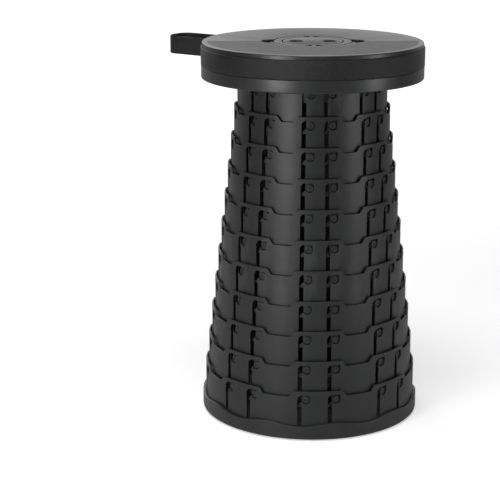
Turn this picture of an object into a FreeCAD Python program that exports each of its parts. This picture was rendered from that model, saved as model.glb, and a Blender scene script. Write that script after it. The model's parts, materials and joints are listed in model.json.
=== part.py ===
import FreeCAD, Part
import math
import os

# A collapsible telescopic stool, standing extended on z = 0, in millimetres.
# Twelve thin rings nest in each other like a drinking cup. The widest one stands in the
# base and the narrowest one carries the seat. Each ring hangs by eight pairs of studs in
# hooked slots of the next wider ring.
# The front is -Y, the seat's dividing line runs along X, and a turn is counted from the
# front towards +X.

# Rings
RING_COUNT = 12
TRAVEL = 35.0
RING_HEIGHT = 55.0
BASE_RING_RADIUS = 127.6
RING_WALL = 1.6
RING_GAP = 2.3

# Castle edge of a ring: merlons with two flat panels for the slots, and notches between them
MERLON_COUNT = 8
MERLON_TURN = 2.75
PANEL_OFFSET = 8.5
MERLON_EDGE = 10.3
NOTCH_SLANT = 5.2
NOTCH_DEPTH = 7.0

# Hooked slots and studs, measured sideways from the middle of their panel
SLOT_SIDE = -4.95
SLOT_WIDTH = 6.7
SLOT_TOP_MARGIN = 4.2
SLOT_FLOOR_BAND = 2.6
SLOT_FLOOR_RISE = 3.0
HOOK_ROUND = 6.0
STUD_SIDE = 4.0
STUD_RADIUS = 3.8
STUD_FACE_COUNT = 6
STUD_ABOVE_BOTTOM = 8.6
STUD_CLEARANCE = 0.2
POCKET_CLEARANCE = 0.9

# Flat faces round the seat and the base, and round small pieces
ROUND_FACE_COUNT = 40
SMALL_FACE_COUNT = 8

# Base
PAD_THICKNESS = 1.5
PAD_RADIUS = 7.0
PAD_COUNT = 8
PAD_INSET = 12.0
BASE_FLOOR = 3.0
CUP_WALL = 3.3
CUP_FIT = 0.3
CUP_REST_GAP = 0.4
CUP_WAVE_COUNT = 10
CUP_WAVE_TURN = 29.5
CUP_WAVE_DEPTH = 4.4
CUP_WAVE_LINE = ((0.96, 0.0), (0.6, 0.4), (0.25, 1.0))
CUP_FOOT_CHAMFER = 1.6
FLOOR_RIB_COUNT = 8
FLOOR_RIB_HEIGHT = 6.0
FLOOR_RIB_WIDTH = 1.8
FLOOR_RIB_INNER = 20.0
FLOOR_RIB_CLEARANCE = 4.0

# Seat frame
SEAT_CLEARANCE = 0.3
SEAT_PLATE = 1.7
SKIRT_FIT = 0.5
SKIRT_WALL = 1.5
SKIRT_RIM_WALL = 2.9
SKIRT_RIM_HEIGHT = 14.5
SKIRT_ROUND = 1.2
BOSS_COUNT = 8
BOSS_RADIUS = 4.2
BOSS_HEIGHT = 8.0
FLANGE_THICKNESS = 2.5
FLANGE_WIDTH = 11.0
SEAT_RIB_HEIGHT = 7.0
SEAT_RIB_WIDTH = 1.8

# Seat cover
COVER_THICKNESS = 2.0
COVER_LIP_HEIGHT = 5.0
COVER_SHOULDER = 2.8
COVER_FIT = 0.2
COVER_RIB_PITCH = 8.0
COVER_GROOVE_WIDTH = 1.8
COVER_GROOVE_DEPTH = 0.6
COVER_RIB_EDGE = 5.0
DIVIDE_WIDTH = 1.4

# Hub in the middle of the seat
HUB_RADIUS = 48.2
HUB_RING_WIDTH = 11.4
HUB_FIT = 0.4
HUB_THICKNESS = 2.6
HUB_WELL_WALL = 1.6
HUB_WELL_FLOOR = 1.6
HUB_HOLE_RADIUS = 8.4
HUB_HOLE_OFFSET = 20.0
FINGER_RADIUS = 14.0
FINGER_BEYOND_HUB = 1.8
FINGER_DEPTH = 12.0
FINGER_WALL = 1.6
HOOK_SLOT_OUT = 10.0
HOOK_SLOT_IN = 2.6
HOOK_SLOT_WIDTH = 2.0
HOOK_SLOT_LEG = 6.0
HOOK_SLOT_INSET = 3.2

# Flat faces round the hub and its recesses
HUB_FACE_COUNT = 24
FINGER_FACE_COUNT = 12

# Screws that hold the narrowest ring to the seat frame
SCREW_FACE_COUNT = 6
SCREW_RADIUS = 1.5
SCREW_HEAD_RADIUS = 3.2
SCREW_HEAD_HEIGHT = 2.0
SCREW_LENGTH = 9.0
SCREW_HOLE_CLEARANCE = 0.3

# Webbing strap
STRAP_WIDTH = 22.0
STRAP_THICKNESS = 1.6
STRAP_FIT = 0.1
LOOP_TURN = 235.9
LOOP_SPACING = 38.0
LOOP_REACH = 70.0
LOOP_STUB = 2.0
LOOP_ROUND = 14.0
LOOP_BEND_STEPS = 4
LOOP_JOINT_GAP = 0.3
RIVET_FACETS = (23, 22)
RIVET_RADIUS = 4.0
RIVET_HEAD = 1.0
SLIDER_TURN = 186.0
SLIDER_LENGTH = 24.0
SLIDER_BORDER = 4.0
SLIDER_THICKNESS = 2.6
SLIDER_BAR = 4.0

# Worked out from the sizes above
RING_STEP = RING_WALL + RING_GAP
RING_FLOOR = PAD_THICKNESS + BASE_FLOOR
FOLD_TRAVEL = (RING_COUNT - 1) * TRAVEL
PLATE_BOTTOM = RING_FLOOR + RING_HEIGHT + SEAT_CLEARANCE + FOLD_TRAVEL
PLATE_TOP = PLATE_BOTTOM + SEAT_PLATE
SEAT_TOP = PLATE_TOP + COVER_THICKNESS
SKIRT_INNER = BASE_RING_RADIUS + SKIRT_FIT
STRAP_FLOOR = SKIRT_INNER + SKIRT_WALL
SEAT_RADIUS = SKIRT_INNER + SKIRT_RIM_WALL
STRAP_TOP = SEAT_TOP - COVER_LIP_HEIGHT
STRAP_BOTTOM = STRAP_TOP - STRAP_WIDTH - 2 * STRAP_FIT
SKIRT_BOTTOM = STRAP_BOTTOM - SKIRT_RIM_HEIGHT
STRAP_INNER = STRAP_FLOOR + STRAP_FIT
STRAP_OUTER = STRAP_INNER + STRAP_THICKNESS
STRAP_MIDDLE = STRAP_BOTTOM + STRAP_FIT + STRAP_WIDTH / 2
LOOP_PIVOT = STRAP_OUTER + LOOP_STUB + LOOP_JOINT_GAP + STRAP_WIDTH / 2
CUP_INNER = BASE_RING_RADIUS + CUP_FIT
CUP_OUTER = CUP_INNER + CUP_WALL
CUP_CREST = SKIRT_BOTTOM - FOLD_TRAVEL - CUP_REST_GAP
BORE_RADIUS = BASE_RING_RADIUS - (RING_COUNT - 1) * RING_STEP - RING_WALL
FLANGE_INNER = BORE_RADIUS - FLANGE_WIDTH
BOSS_CIRCLE = BORE_RADIUS - FLANGE_WIDTH / 2
MERLON_STEP = 360.0 / MERLON_COUNT
STUD_RISE = STUD_ABOVE_BOTTOM + TRAVEL
COVER_INNER_RADIUS = SEAT_RADIUS - COVER_THICKNESS - COVER_FIT
COVER_TOP_RADIUS = SEAT_RADIUS - COVER_SHOULDER
HUB_DISC_RADIUS = HUB_RADIUS - HUB_RING_WIDTH
HUB_WELL_RADIUS = HUB_RADIUS + COVER_FIT
HOOK_SLOT_RADIUS = HUB_RADIUS - HOOK_SLOT_INSET
FINGER_OFFSET = HUB_RADIUS + FINGER_BEYOND_HUB
HUB_SEAT = SEAT_TOP - HUB_THICKNESS
HUB_UNDERSIDE = HUB_SEAT - HUB_WELL_FLOOR
FINGER_FLOOR = SEAT_TOP - FINGER_DEPTH

UP = FreeCAD.Vector(0, 0, 1)
CENTRE = FreeCAD.Vector(0, 0, 0)


def vec(x, y, z=0.0):
    return FreeCAD.Vector(x, y, z)


def ring_radius(index):
    """Outer radius of a ring, with the narrowest one as number 1."""
    return BASE_RING_RADIUS - (RING_COUNT - index) * RING_STEP


def ring_bottom(index):
    """Height of a ring's lower edge when the stool is extended."""
    return RING_FLOOR + (RING_COUNT - index) * TRAVEL


def turned(shape, turn):
    """Turn a shape made at the front to its place, counted from the front towards +X."""
    copy = shape.copy()
    copy.rotate(CENTRE, UP, turn)
    return copy


def direction_at(turn):
    """The level direction that points outwards at a turn from the front."""
    angle = math.radians(turn)
    return vec(math.sin(angle), -math.cos(angle))


def faceted_turn(points, faces=ROUND_FACE_COUNT):
    """Turn a closed outline of radius and height pairs about the axis, in flat faces."""
    sides = []
    closed = points + points[:1]
    for (r_start, z_start), (r_end, z_end) in zip(closed, closed[1:]):
        if r_start == 0 and r_end == 0:
            continue
        for number in range(faces):
            here = direction_at(360.0 * number / faces)
            there = direction_at(360.0 * (number + 1) / faces)
            corners = [
                here * r_start + UP * z_start,
                there * r_start + UP * z_start,
                there * r_end + UP * z_end,
                here * r_end + UP * z_end,
            ]
            if r_start == 0:
                corners.pop(1)
            elif r_end == 0:
                corners.pop(2)
            sides.append(Part.Face(Part.makePolygon(corners + corners[:1])))
    shell = Part.Shell(sides)
    shell.sewShape()
    solid = Part.Solid(shell)
    if solid.Volume < 0:
        solid.reverse()
    return solid.removeSplitter()


def drum(radius, bottom, top, faces=ROUND_FACE_COUNT, centre=CENTRE):
    """An upright drum with flat faces round it."""
    corners = [direction_at(360.0 * number / faces) * radius for number in range(faces)]
    face = Part.Face(Part.makePolygon(corners + corners[:1]))
    face.translate(centre + UP * bottom)
    return face.extrude(UP * (top - bottom))


def tube(outer, inner, bottom, top, faces=ROUND_FACE_COUNT):
    """A plain upright tube."""
    return drum(outer, bottom, top, faces).cut(drum(inner, bottom, top, faces))


def prism_at_front(outline, inner, outer):
    """Push an outline, drawn in arc and height at the front, outwards from inner to outer."""
    face = Part.Face(outline)
    face.translate(vec(0, -inner, 0))
    return face.extrude(vec(0, inner - outer, 0))


def front_polygon(points):
    return Part.makePolygon([vec(u, 0, v) for u, v in points + points[:1]])


def slot_panel_turns():
    """The middles of the two flat panels of each merlon, which hold a slot and a stud."""
    turns = []
    for number in range(MERLON_COUNT):
        middle = MERLON_TURN + number * MERLON_STEP
        turns += [middle - PANEL_OFFSET, middle + PANEL_OFFSET]
    return turns


def panel_edge_turns():
    """Where the flat panels of a ring meet, two of them to a merlon and one to a notch."""
    turns = []
    for number in range(MERLON_COUNT):
        middle = MERLON_TURN + number * MERLON_STEP
        turns += [middle - 2 * PANEL_OFFSET, middle, middle + 2 * PANEL_OFFSET]
    return turns


def notch_turns():
    return [MERLON_TURN + (number + 0.5) * MERLON_STEP for number in range(MERLON_COUNT)]


def panel_distance(radius):
    """How far a slot's panel lies from the axis, on a ring face of this corner radius."""
    return radius * math.cos(math.radians(PANEL_OFFSET))


def panelled_prism(radius, height):
    """An upright prism with the rings' panels as its sides."""
    corners = [direction_at(turn) * radius for turn in panel_edge_turns()]
    return Part.Face(Part.makePolygon(corners + corners[:1])).extrude(UP * height)


def notch_cutter(radius, height):
    """The gap between two merlons, wider at its top."""
    floor = height - NOTCH_DEPTH
    edge_turn = MERLON_STEP / 2 - PANEL_OFFSET - math.degrees(MERLON_EDGE / radius)
    half_top = radius * math.sin(math.radians(edge_turn))
    half_floor = half_top - NOTCH_SLANT
    outline = front_polygon([
        (-half_floor, floor),
        (half_floor, floor),
        (half_top, height),
        (half_top, height + NOTCH_DEPTH),
        (-half_top, height + NOTCH_DEPTH),
        (-half_top, height),
    ])
    start = radius * math.cos(math.radians(MERLON_STEP / 2)) - RING_WALL
    return prism_at_front(outline, start, radius + RING_GAP)


def hook_outline():
    """The hooked slot: a long leg, a cut top left corner and a pocket for the stud at the right."""
    left = SLOT_SIDE - SLOT_WIDTH / 2
    leg_right = SLOT_SIDE + SLOT_WIDTH / 2
    top = RING_HEIGHT - SLOT_TOP_MARGIN
    pocket = STUD_RADIUS + POCKET_CLEARANCE
    right = STUD_SIDE + pocket
    return front_polygon([
        (left, SLOT_FLOOR_BAND),
        (left, top - HOOK_ROUND),
        (left + HOOK_ROUND, top),
        (right, top),
        (right, STUD_RISE - pocket),
        (leg_right, STUD_RISE - pocket),
        (leg_right, SLOT_FLOOR_BAND + SLOT_FLOOR_RISE),
    ])


def slot_cutters(radius):
    hook = prism_at_front(hook_outline(), panel_distance(radius) - RING_WALL - RING_GAP / 2, radius + RING_GAP)
    return [turned(hook, turn) for turn in slot_panel_turns()]


def studs(radius):
    """Studs that stand out of a ring's panels, up to the wall of the next wider ring."""
    start = panel_distance(radius - RING_WALL / 2)
    end = panel_distance(radius + RING_GAP) - STUD_CLEARANCE
    corners = []
    for number in range(STUD_FACE_COUNT):
        angle = 2 * math.pi * number / STUD_FACE_COUNT
        side = STUD_SIDE + STUD_RADIUS * math.cos(angle)
        corners.append((side, STUD_ABOVE_BOTTOM + STUD_RADIUS * math.sin(angle)))
    stud = prism_at_front(front_polygon(corners), start, end)
    return [turned(stud, turn) for turn in slot_panel_turns()]


def make_ring(index):
    """One telescopic ring, with its lower edge on z = 0."""
    radius = ring_radius(index)
    narrowest = index == 1
    height = RING_HEIGHT + (SEAT_CLEARANCE if narrowest else 0.0)
    ring = panelled_prism(radius, height).cut(panelled_prism(radius - RING_WALL, height))
    cutters = []
    if not narrowest:
        cutters += [turned(notch_cutter(radius, height), turn) for turn in notch_turns()]
        cutters += slot_cutters(radius)
    if cutters:
        ring = ring.cut(cutters)
    if index < RING_COUNT:
        ring = ring.fuse(studs(radius))
    if narrowest:
        ring = ring.fuse(seat_flange(height))
    return ring


def seat_flange(height):
    """The inward flange that the seat's screws pass through."""
    top = height - BOSS_HEIGHT
    flange = panelled_prism(BORE_RADIUS + RING_WALL / 2, FLANGE_THICKNESS)
    flange.translate(UP * (top - FLANGE_THICKNESS))
    flange = flange.cut(drum(FLANGE_INNER, top - FLANGE_THICKNESS, top))
    hole = drum(SCREW_RADIUS + SCREW_HOLE_CLEARANCE, top - FLANGE_THICKNESS, top, SCREW_FACE_COUNT,
                vec(0, -BOSS_CIRCLE))
    cuts = [turned(hole, turn) for turn in boss_turns()]
    for side in (-1, 1):
        cuts.append(finger_shape(FINGER_WALL + HUB_FIT, top - FLANGE_THICKNESS, top, side))
    return flange.cut(cuts)


def boss_turns():
    return [MERLON_STEP / 2 + index * 360.0 / BOSS_COUNT for index in range(BOSS_COUNT)]


def wave_cutters():
    """Long hollows that make the cup's upper edge wavy."""
    half = CUP_OUTER * math.sin(math.pi / CUP_WAVE_COUNT)
    right = [(share * half, CUP_CREST - drop * CUP_WAVE_DEPTH) for share, drop in CUP_WAVE_LINE]
    left = [(-side, height) for side, height in reversed(right)]
    widest = right[0][0]
    over = [(-widest, CUP_CREST + CUP_WAVE_DEPTH), (widest, CUP_CREST + CUP_WAVE_DEPTH)]
    hollow = prism_at_front(front_polygon(right + left + over), CUP_INNER - CUP_WALL, CUP_OUTER + CUP_WALL)
    return [turned(hollow, CUP_WAVE_TURN + index * 360.0 / CUP_WAVE_COUNT) for index in range(CUP_WAVE_COUNT)]


def make_base_cup():
    """The base: a floor with ribs and a low wall with a wavy edge, round the widest ring."""
    cup = faceted_turn([
        (0, PAD_THICKNESS),
        (CUP_OUTER - CUP_FOOT_CHAMFER, PAD_THICKNESS),
        (CUP_OUTER, PAD_THICKNESS + CUP_FOOT_CHAMFER),
        (CUP_OUTER, CUP_CREST),
        (0, CUP_CREST),
    ])
    bore = panelled_prism(CUP_INNER, CUP_CREST)
    bore.translate(UP * RING_FLOOR)
    reach = BORE_RADIUS - FLOOR_RIB_CLEARANCE
    rib = Part.makeBox(
        FLOOR_RIB_WIDTH, reach - FLOOR_RIB_INNER, FLOOR_RIB_HEIGHT,
        vec(-FLOOR_RIB_WIDTH / 2, -reach, RING_FLOOR),
    )
    ribs = [turned(rib, index * 360.0 / FLOOR_RIB_COUNT) for index in range(FLOOR_RIB_COUNT)]
    return cup.cut([bore] + wave_cutters()).fuse(ribs).removeSplitter()


def make_base_pads():
    """Rubber pads under the base, eight round its edge and one in the middle."""
    pad = drum(PAD_RADIUS, 0, PAD_THICKNESS, SMALL_FACE_COUNT, vec(0, -CUP_OUTER + PAD_INSET))
    pads = [turned(pad, index * 360.0 / PAD_COUNT) for index in range(PAD_COUNT)]
    pads.append(drum(PAD_RADIUS, 0, PAD_THICKNESS, SMALL_FACE_COUNT))
    return Part.makeCompound(pads)


def finger_shape(growth, bottom, top, side):
    """The round finger recess on one side of the hub."""
    return drum(FINGER_RADIUS + growth, bottom, top, FINGER_FACE_COUNT, vec(side * FINGER_OFFSET, 0))


def make_seat_frame():
    """The seat's load-bearing moulding: plate, and rim with the strap's groove."""
    return faceted_turn([
        (0, PLATE_BOTTOM),
        (SKIRT_INNER, PLATE_BOTTOM),
        (SKIRT_INNER, SKIRT_BOTTOM),
        (SEAT_RADIUS - SKIRT_ROUND, SKIRT_BOTTOM),
        (SEAT_RADIUS, SKIRT_BOTTOM + SKIRT_ROUND),
        (SEAT_RADIUS, STRAP_BOTTOM),
        (STRAP_FLOOR, STRAP_BOTTOM),
        (STRAP_FLOOR, STRAP_TOP),
        (COVER_INNER_RADIUS, STRAP_TOP),
        (COVER_INNER_RADIUS, PLATE_TOP),
        (0, PLATE_TOP),
    ])


def seat_hub_parts():
    """What hangs under the plate in the middle: the hub's well, finger cups, ribs and bosses."""
    well = drum(HUB_WELL_RADIUS + HUB_WELL_WALL, HUB_UNDERSIDE, PLATE_TOP, HUB_FACE_COUNT)
    shapes = [well]
    for side in (-1, 1):
        shapes.append(finger_shape(FINGER_WALL, FINGER_FLOOR - FINGER_WALL, PLATE_TOP, side))
    reach = FLANGE_INNER - HUB_FIT
    start = HUB_WELL_RADIUS
    rib = Part.makeBox(
        SEAT_RIB_WIDTH, reach - start, SEAT_RIB_HEIGHT,
        vec(-SEAT_RIB_WIDTH / 2, -reach, PLATE_BOTTOM - SEAT_RIB_HEIGHT),
    )
    shapes += [turned(rib, turn) for turn in boss_turns()]
    boss = drum(BOSS_RADIUS, PLATE_BOTTOM - BOSS_HEIGHT, PLATE_BOTTOM, SCREW_FACE_COUNT, vec(0, -BOSS_CIRCLE))
    shapes += [turned(boss, turn) for turn in boss_turns()]
    return shapes


def screw_holes():
    low = PLATE_BOTTOM - BOSS_HEIGHT
    hole = drum(SCREW_RADIUS, low, low + SCREW_LENGTH - FLANGE_THICKNESS, SCREW_FACE_COUNT, vec(0, -BOSS_CIRCLE))
    return [turned(hole, turn) for turn in boss_turns()]


def finished_seat_frame():
    frame = make_seat_frame().fuse(seat_hub_parts())
    cuts = [drum(HUB_WELL_RADIUS, HUB_SEAT, SEAT_TOP, HUB_FACE_COUNT)]
    for side in (-1, 1):
        cuts.append(finger_shape(0.0, FINGER_FLOOR, SEAT_TOP, side))
        cuts.append(drum(HUB_HOLE_RADIUS, HUB_UNDERSIDE, SEAT_TOP, FINGER_FACE_COUNT,
                         vec(side * HUB_HOLE_OFFSET, 0)))
    cuts += screw_holes()
    return frame.cut(cuts).removeSplitter()


def rib_grooves(edge_radius, hole_radius):
    """Fine grooves along X over the front half, inside one circle and outside another."""
    top = SEAT_TOP
    grooves = []
    count = int((edge_radius - DIVIDE_WIDTH) / COVER_RIB_PITCH)
    for index in range(1, count + 1):
        y = -index * COVER_RIB_PITCH
        if edge_radius + y < COVER_GROOVE_WIDTH:
            continue
        reach = math.sqrt(edge_radius ** 2 - y ** 2)
        blank = math.sqrt(hole_radius ** 2 - y ** 2) if abs(y) < hole_radius else 0.0
        low = vec(-reach, y - COVER_GROOVE_WIDTH / 2, top - COVER_GROOVE_DEPTH)
        if blank:
            length = reach - blank
            grooves.append(Part.makeBox(length, COVER_GROOVE_WIDTH, COVER_GROOVE_DEPTH, low))
            grooves.append(Part.makeBox(length, COVER_GROOVE_WIDTH, COVER_GROOVE_DEPTH,
                                        vec(blank, low.y, low.z)))
        else:
            grooves.append(Part.makeBox(2 * reach, COVER_GROOVE_WIDTH, COVER_GROOVE_DEPTH, low))
    return grooves


def divide_groove(outer, inner):
    """The dividing line between the two halves, as two grooves along X."""
    length = outer - inner
    size = (length, DIVIDE_WIDTH, COVER_GROOVE_DEPTH)
    low = (-DIVIDE_WIDTH / 2, SEAT_TOP - COVER_GROOVE_DEPTH)
    return [Part.makeBox(*size, vec(-outer, *low)), Part.makeBox(*size, vec(inner, *low))]


def make_seat_cover():
    """The seat's top skin: smooth at the back, ribbed at the front, folded over the rim."""
    inner = COVER_INNER_RADIUS + COVER_FIT
    cover = faceted_turn([
        (0, PLATE_TOP),
        (inner, PLATE_TOP),
        (inner, STRAP_TOP + STRAP_FIT),
        (SEAT_RADIUS, STRAP_TOP + STRAP_FIT),
        (SEAT_RADIUS, SEAT_TOP - COVER_SHOULDER),
        (COVER_TOP_RADIUS, SEAT_TOP),
        (0, SEAT_TOP),
    ])
    cover = cover.cut(drum(HUB_WELL_RADIUS, PLATE_TOP, SEAT_TOP, HUB_FACE_COUNT))
    cuts = rib_grooves(COVER_TOP_RADIUS - COVER_RIB_EDGE, HUB_RADIUS + COVER_RIB_EDGE)
    cuts += divide_groove(COVER_TOP_RADIUS - COVER_RIB_EDGE, FINGER_OFFSET)
    for side in (-1, 1):
        cuts.append(finger_shape(0.0, PLATE_TOP, SEAT_TOP, side))
    return cover.cut(cuts).removeSplitter()


def hook_slot(side):
    """One L-shaped slot of the hub ring: a bar along the edge and a leg towards the centre."""
    bar = Part.makeBox(
        HOOK_SLOT_OUT - HOOK_SLOT_IN, HOOK_SLOT_WIDTH, HUB_THICKNESS,
        vec(HOOK_SLOT_IN, -HOOK_SLOT_RADIUS, HUB_SEAT),
    )
    leg = Part.makeBox(
        HOOK_SLOT_WIDTH, HOOK_SLOT_LEG, HUB_THICKNESS,
        vec(HOOK_SLOT_IN, -HOOK_SLOT_RADIUS, HUB_SEAT),
    )
    slot = bar.fuse(leg)
    return slot if side > 0 else slot.mirror(CENTRE, vec(1, 0, 0))


def make_hub_ring():
    ring = tube(HUB_RADIUS, HUB_DISC_RADIUS + HUB_FIT, HUB_SEAT, SEAT_TOP, HUB_FACE_COUNT)
    cuts = [turned(hook_slot(side), turn) for side in (-1, 1) for turn in (0, 180)]
    for side in (-1, 1):
        cuts.append(finger_shape(0.0, HUB_SEAT, SEAT_TOP, side))
    return ring.cut(cuts)


def make_hub_disc():
    disc = drum(HUB_DISC_RADIUS, HUB_SEAT, SEAT_TOP, HUB_FACE_COUNT)
    cuts = rib_grooves(HUB_DISC_RADIUS - COVER_RIB_EDGE / 2, 0.0)
    for side in (-1, 1):
        cuts.append(drum(HUB_HOLE_RADIUS, HUB_SEAT, SEAT_TOP, FINGER_FACE_COUNT, vec(side * HUB_HOLE_OFFSET, 0)))
    return disc.cut(cuts)


def make_seat_screws():
    """Screws driven upwards through the flange into the bosses."""
    under = PLATE_BOTTOM - BOSS_HEIGHT - FLANGE_THICKNESS
    place = vec(0, -BOSS_CIRCLE)
    head = drum(SCREW_HEAD_RADIUS, under - SCREW_HEAD_HEIGHT, under, SCREW_FACE_COUNT, place)
    shank = drum(SCREW_RADIUS, under, under + SCREW_LENGTH, SCREW_FACE_COUNT, place)
    screw = head.fuse(shank)
    return Part.makeCompound([turned(screw, turn) for turn in boss_turns()])


def loop_frame():
    """The loop's middle direction, its sideways direction and half the roots' spacing."""
    out = direction_at(LOOP_TURN)
    return out, UP.cross(out), LOOP_SPACING / 2


def strand(out, side, offset, start, end, thickness):
    """A straight upright stretch of webbing along the loop's middle direction."""
    low = out * start + side * (offset - thickness / 2) + vec(0, 0, STRAP_BOTTOM + STRAP_FIT)
    corners = [low, low + out * (end - start)]
    corners += [corners[1] + side * thickness, low + side * thickness]
    face = Part.Face(Part.makePolygon(corners + corners[:1]))
    return face.extrude(UP * STRAP_WIDTH)


def make_strap_band():
    """Webbing round the rim, with the two stubs that the loop grows from."""
    low = STRAP_BOTTOM + STRAP_FIT
    band = tube(STRAP_OUTER, STRAP_INNER, low, low + STRAP_WIDTH)
    out, side, half = loop_frame()
    chord = math.sqrt(STRAP_OUTER ** 2 - half ** 2)
    stubs = []
    for sign in (-1, 1):
        offset = sign * half
        stubs.append(strand(out, side, offset, chord - STRAP_THICKNESS, STRAP_OUTER + LOOP_STUB, STRAP_THICKNESS))
    return band.fuse(stubs).removeSplitter()


def make_carry_loop():
    """The free part of the loop, of upright webbing, which swings about its two round ends."""
    out, side, half = loop_frame()
    start = LOOP_PIVOT - STRAP_WIDTH / 2
    end = STRAP_OUTER + LOOP_REACH
    low = vec(0, 0, STRAP_BOTTOM + STRAP_FIT)

    def half_outline(way, inset):
        """The loop's line on one side of its middle, from the joint to the end."""
        wide = half + STRAP_THICKNESS / 2 - inset
        reach = end - inset
        bend = LOOP_ROUND - inset
        points = [out * start + side * (way * wide)]
        for step in range(LOOP_BEND_STEPS + 1):
            angle = math.pi / 2 * step / LOOP_BEND_STEPS
            along = reach - bend * (1 - math.sin(angle))
            across = wide - bend * (1 - math.cos(angle))
            points.append(out * along + side * (way * across))
        return [point + low for point in points]

    corners = half_outline(1, 0.0) + half_outline(-1, 0.0)[::-1]
    corners += half_outline(-1, STRAP_THICKNESS) + half_outline(1, STRAP_THICKNESS)[::-1]
    face = Part.Face(Part.makePolygon(corners + corners[:1]))
    wide = half + STRAP_THICKNESS
    pivot = out * LOOP_PIVOT + side * -wide + UP * STRAP_MIDDLE
    round_end = Part.makeCylinder(STRAP_WIDTH / 2, 2 * wide, pivot, side)
    rest = strand(out, side, 0.0, LOOP_PIVOT, end, 2 * wide)
    return face.extrude(UP * STRAP_WIDTH).common(rest.fuse(round_end)).removeSplitter()


def make_strap_rivets():
    """Two flat rivets that close the loop's stitched end on the band."""
    corners = []
    for number in range(SMALL_FACE_COUNT):
        angle = 2 * math.pi * number / SMALL_FACE_COUNT
        corners.append((RIVET_RADIUS * math.cos(angle), STRAP_MIDDLE + RIVET_RADIUS * math.sin(angle)))
    start = STRAP_OUTER * math.cos(math.pi / ROUND_FACE_COUNT)
    rivet = prism_at_front(front_polygon(corners), start, start + RIVET_HEAD)
    return Part.makeCompound([turned(rivet, (facet + 0.5) * 360.0 / ROUND_FACE_COUNT) for facet in RIVET_FACETS])


def make_strap_slider():
    """The three-bar slider that takes up the strap's free length, bent to the rim."""
    half_height = STRAP_WIDTH / 2 + SLIDER_BORDER
    low = STRAP_MIDDLE - half_height
    plate = tube(STRAP_OUTER + SLIDER_THICKNESS, STRAP_OUTER, low, low + 2 * half_height)

    def upright_box(start, end, half):
        """A box through the plate, between two places along the strap."""
        corner = vec(start, -STRAP_OUTER - SLIDER_LENGTH / 2, STRAP_MIDDLE - half)
        return turned(Part.makeBox(end - start, SLIDER_LENGTH, 2 * half, corner), SLIDER_TURN)

    slider = plate.common(upright_box(-SLIDER_LENGTH / 2, SLIDER_LENGTH / 2, half_height))
    inner = SLIDER_BAR / 2
    outer = SLIDER_LENGTH / 2 - SLIDER_BAR
    windows = [upright_box(-outer, -inner, STRAP_WIDTH / 2), upright_box(inner, outer, STRAP_WIDTH / 2)]
    return slider.cut(windows)


def export(name, shape):
    shape.exportStep("parts/" + name + ".step")
    print(name, len(shape.Solids), "solids", round(shape.Volume / 1000, 2), "cm3", shape.isValid())


def main():
    os.makedirs("parts", exist_ok=True)
    for index in range(1, RING_COUNT + 1):
        ring = make_ring(index)
        ring.translate(vec(0, 0, ring_bottom(index)))
        export("ring_%02d" % index, ring)
    export("base_cup", make_base_cup())
    export("base_pads", make_base_pads())
    export("seat_frame", finished_seat_frame())
    export("seat_cover", make_seat_cover())
    export("hub_arcs", make_hub_ring())
    export("hub_disc", make_hub_disc())
    export("seat_screws", make_seat_screws())
    export("strap_band", make_strap_band())
    export("carry_loop", make_carry_loop())
    export("strap_rivets", make_strap_rivets())
    export("strap_slider", make_strap_slider())


main()
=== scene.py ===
"""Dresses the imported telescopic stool: smooth slotted rings, ribbed seat, hub, webbing strap and studio."""

import json
import logging
import math
from collections.abc import Callable, Iterable, Sequence
from dataclasses import dataclass, field
from enum import Enum, IntEnum

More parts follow.
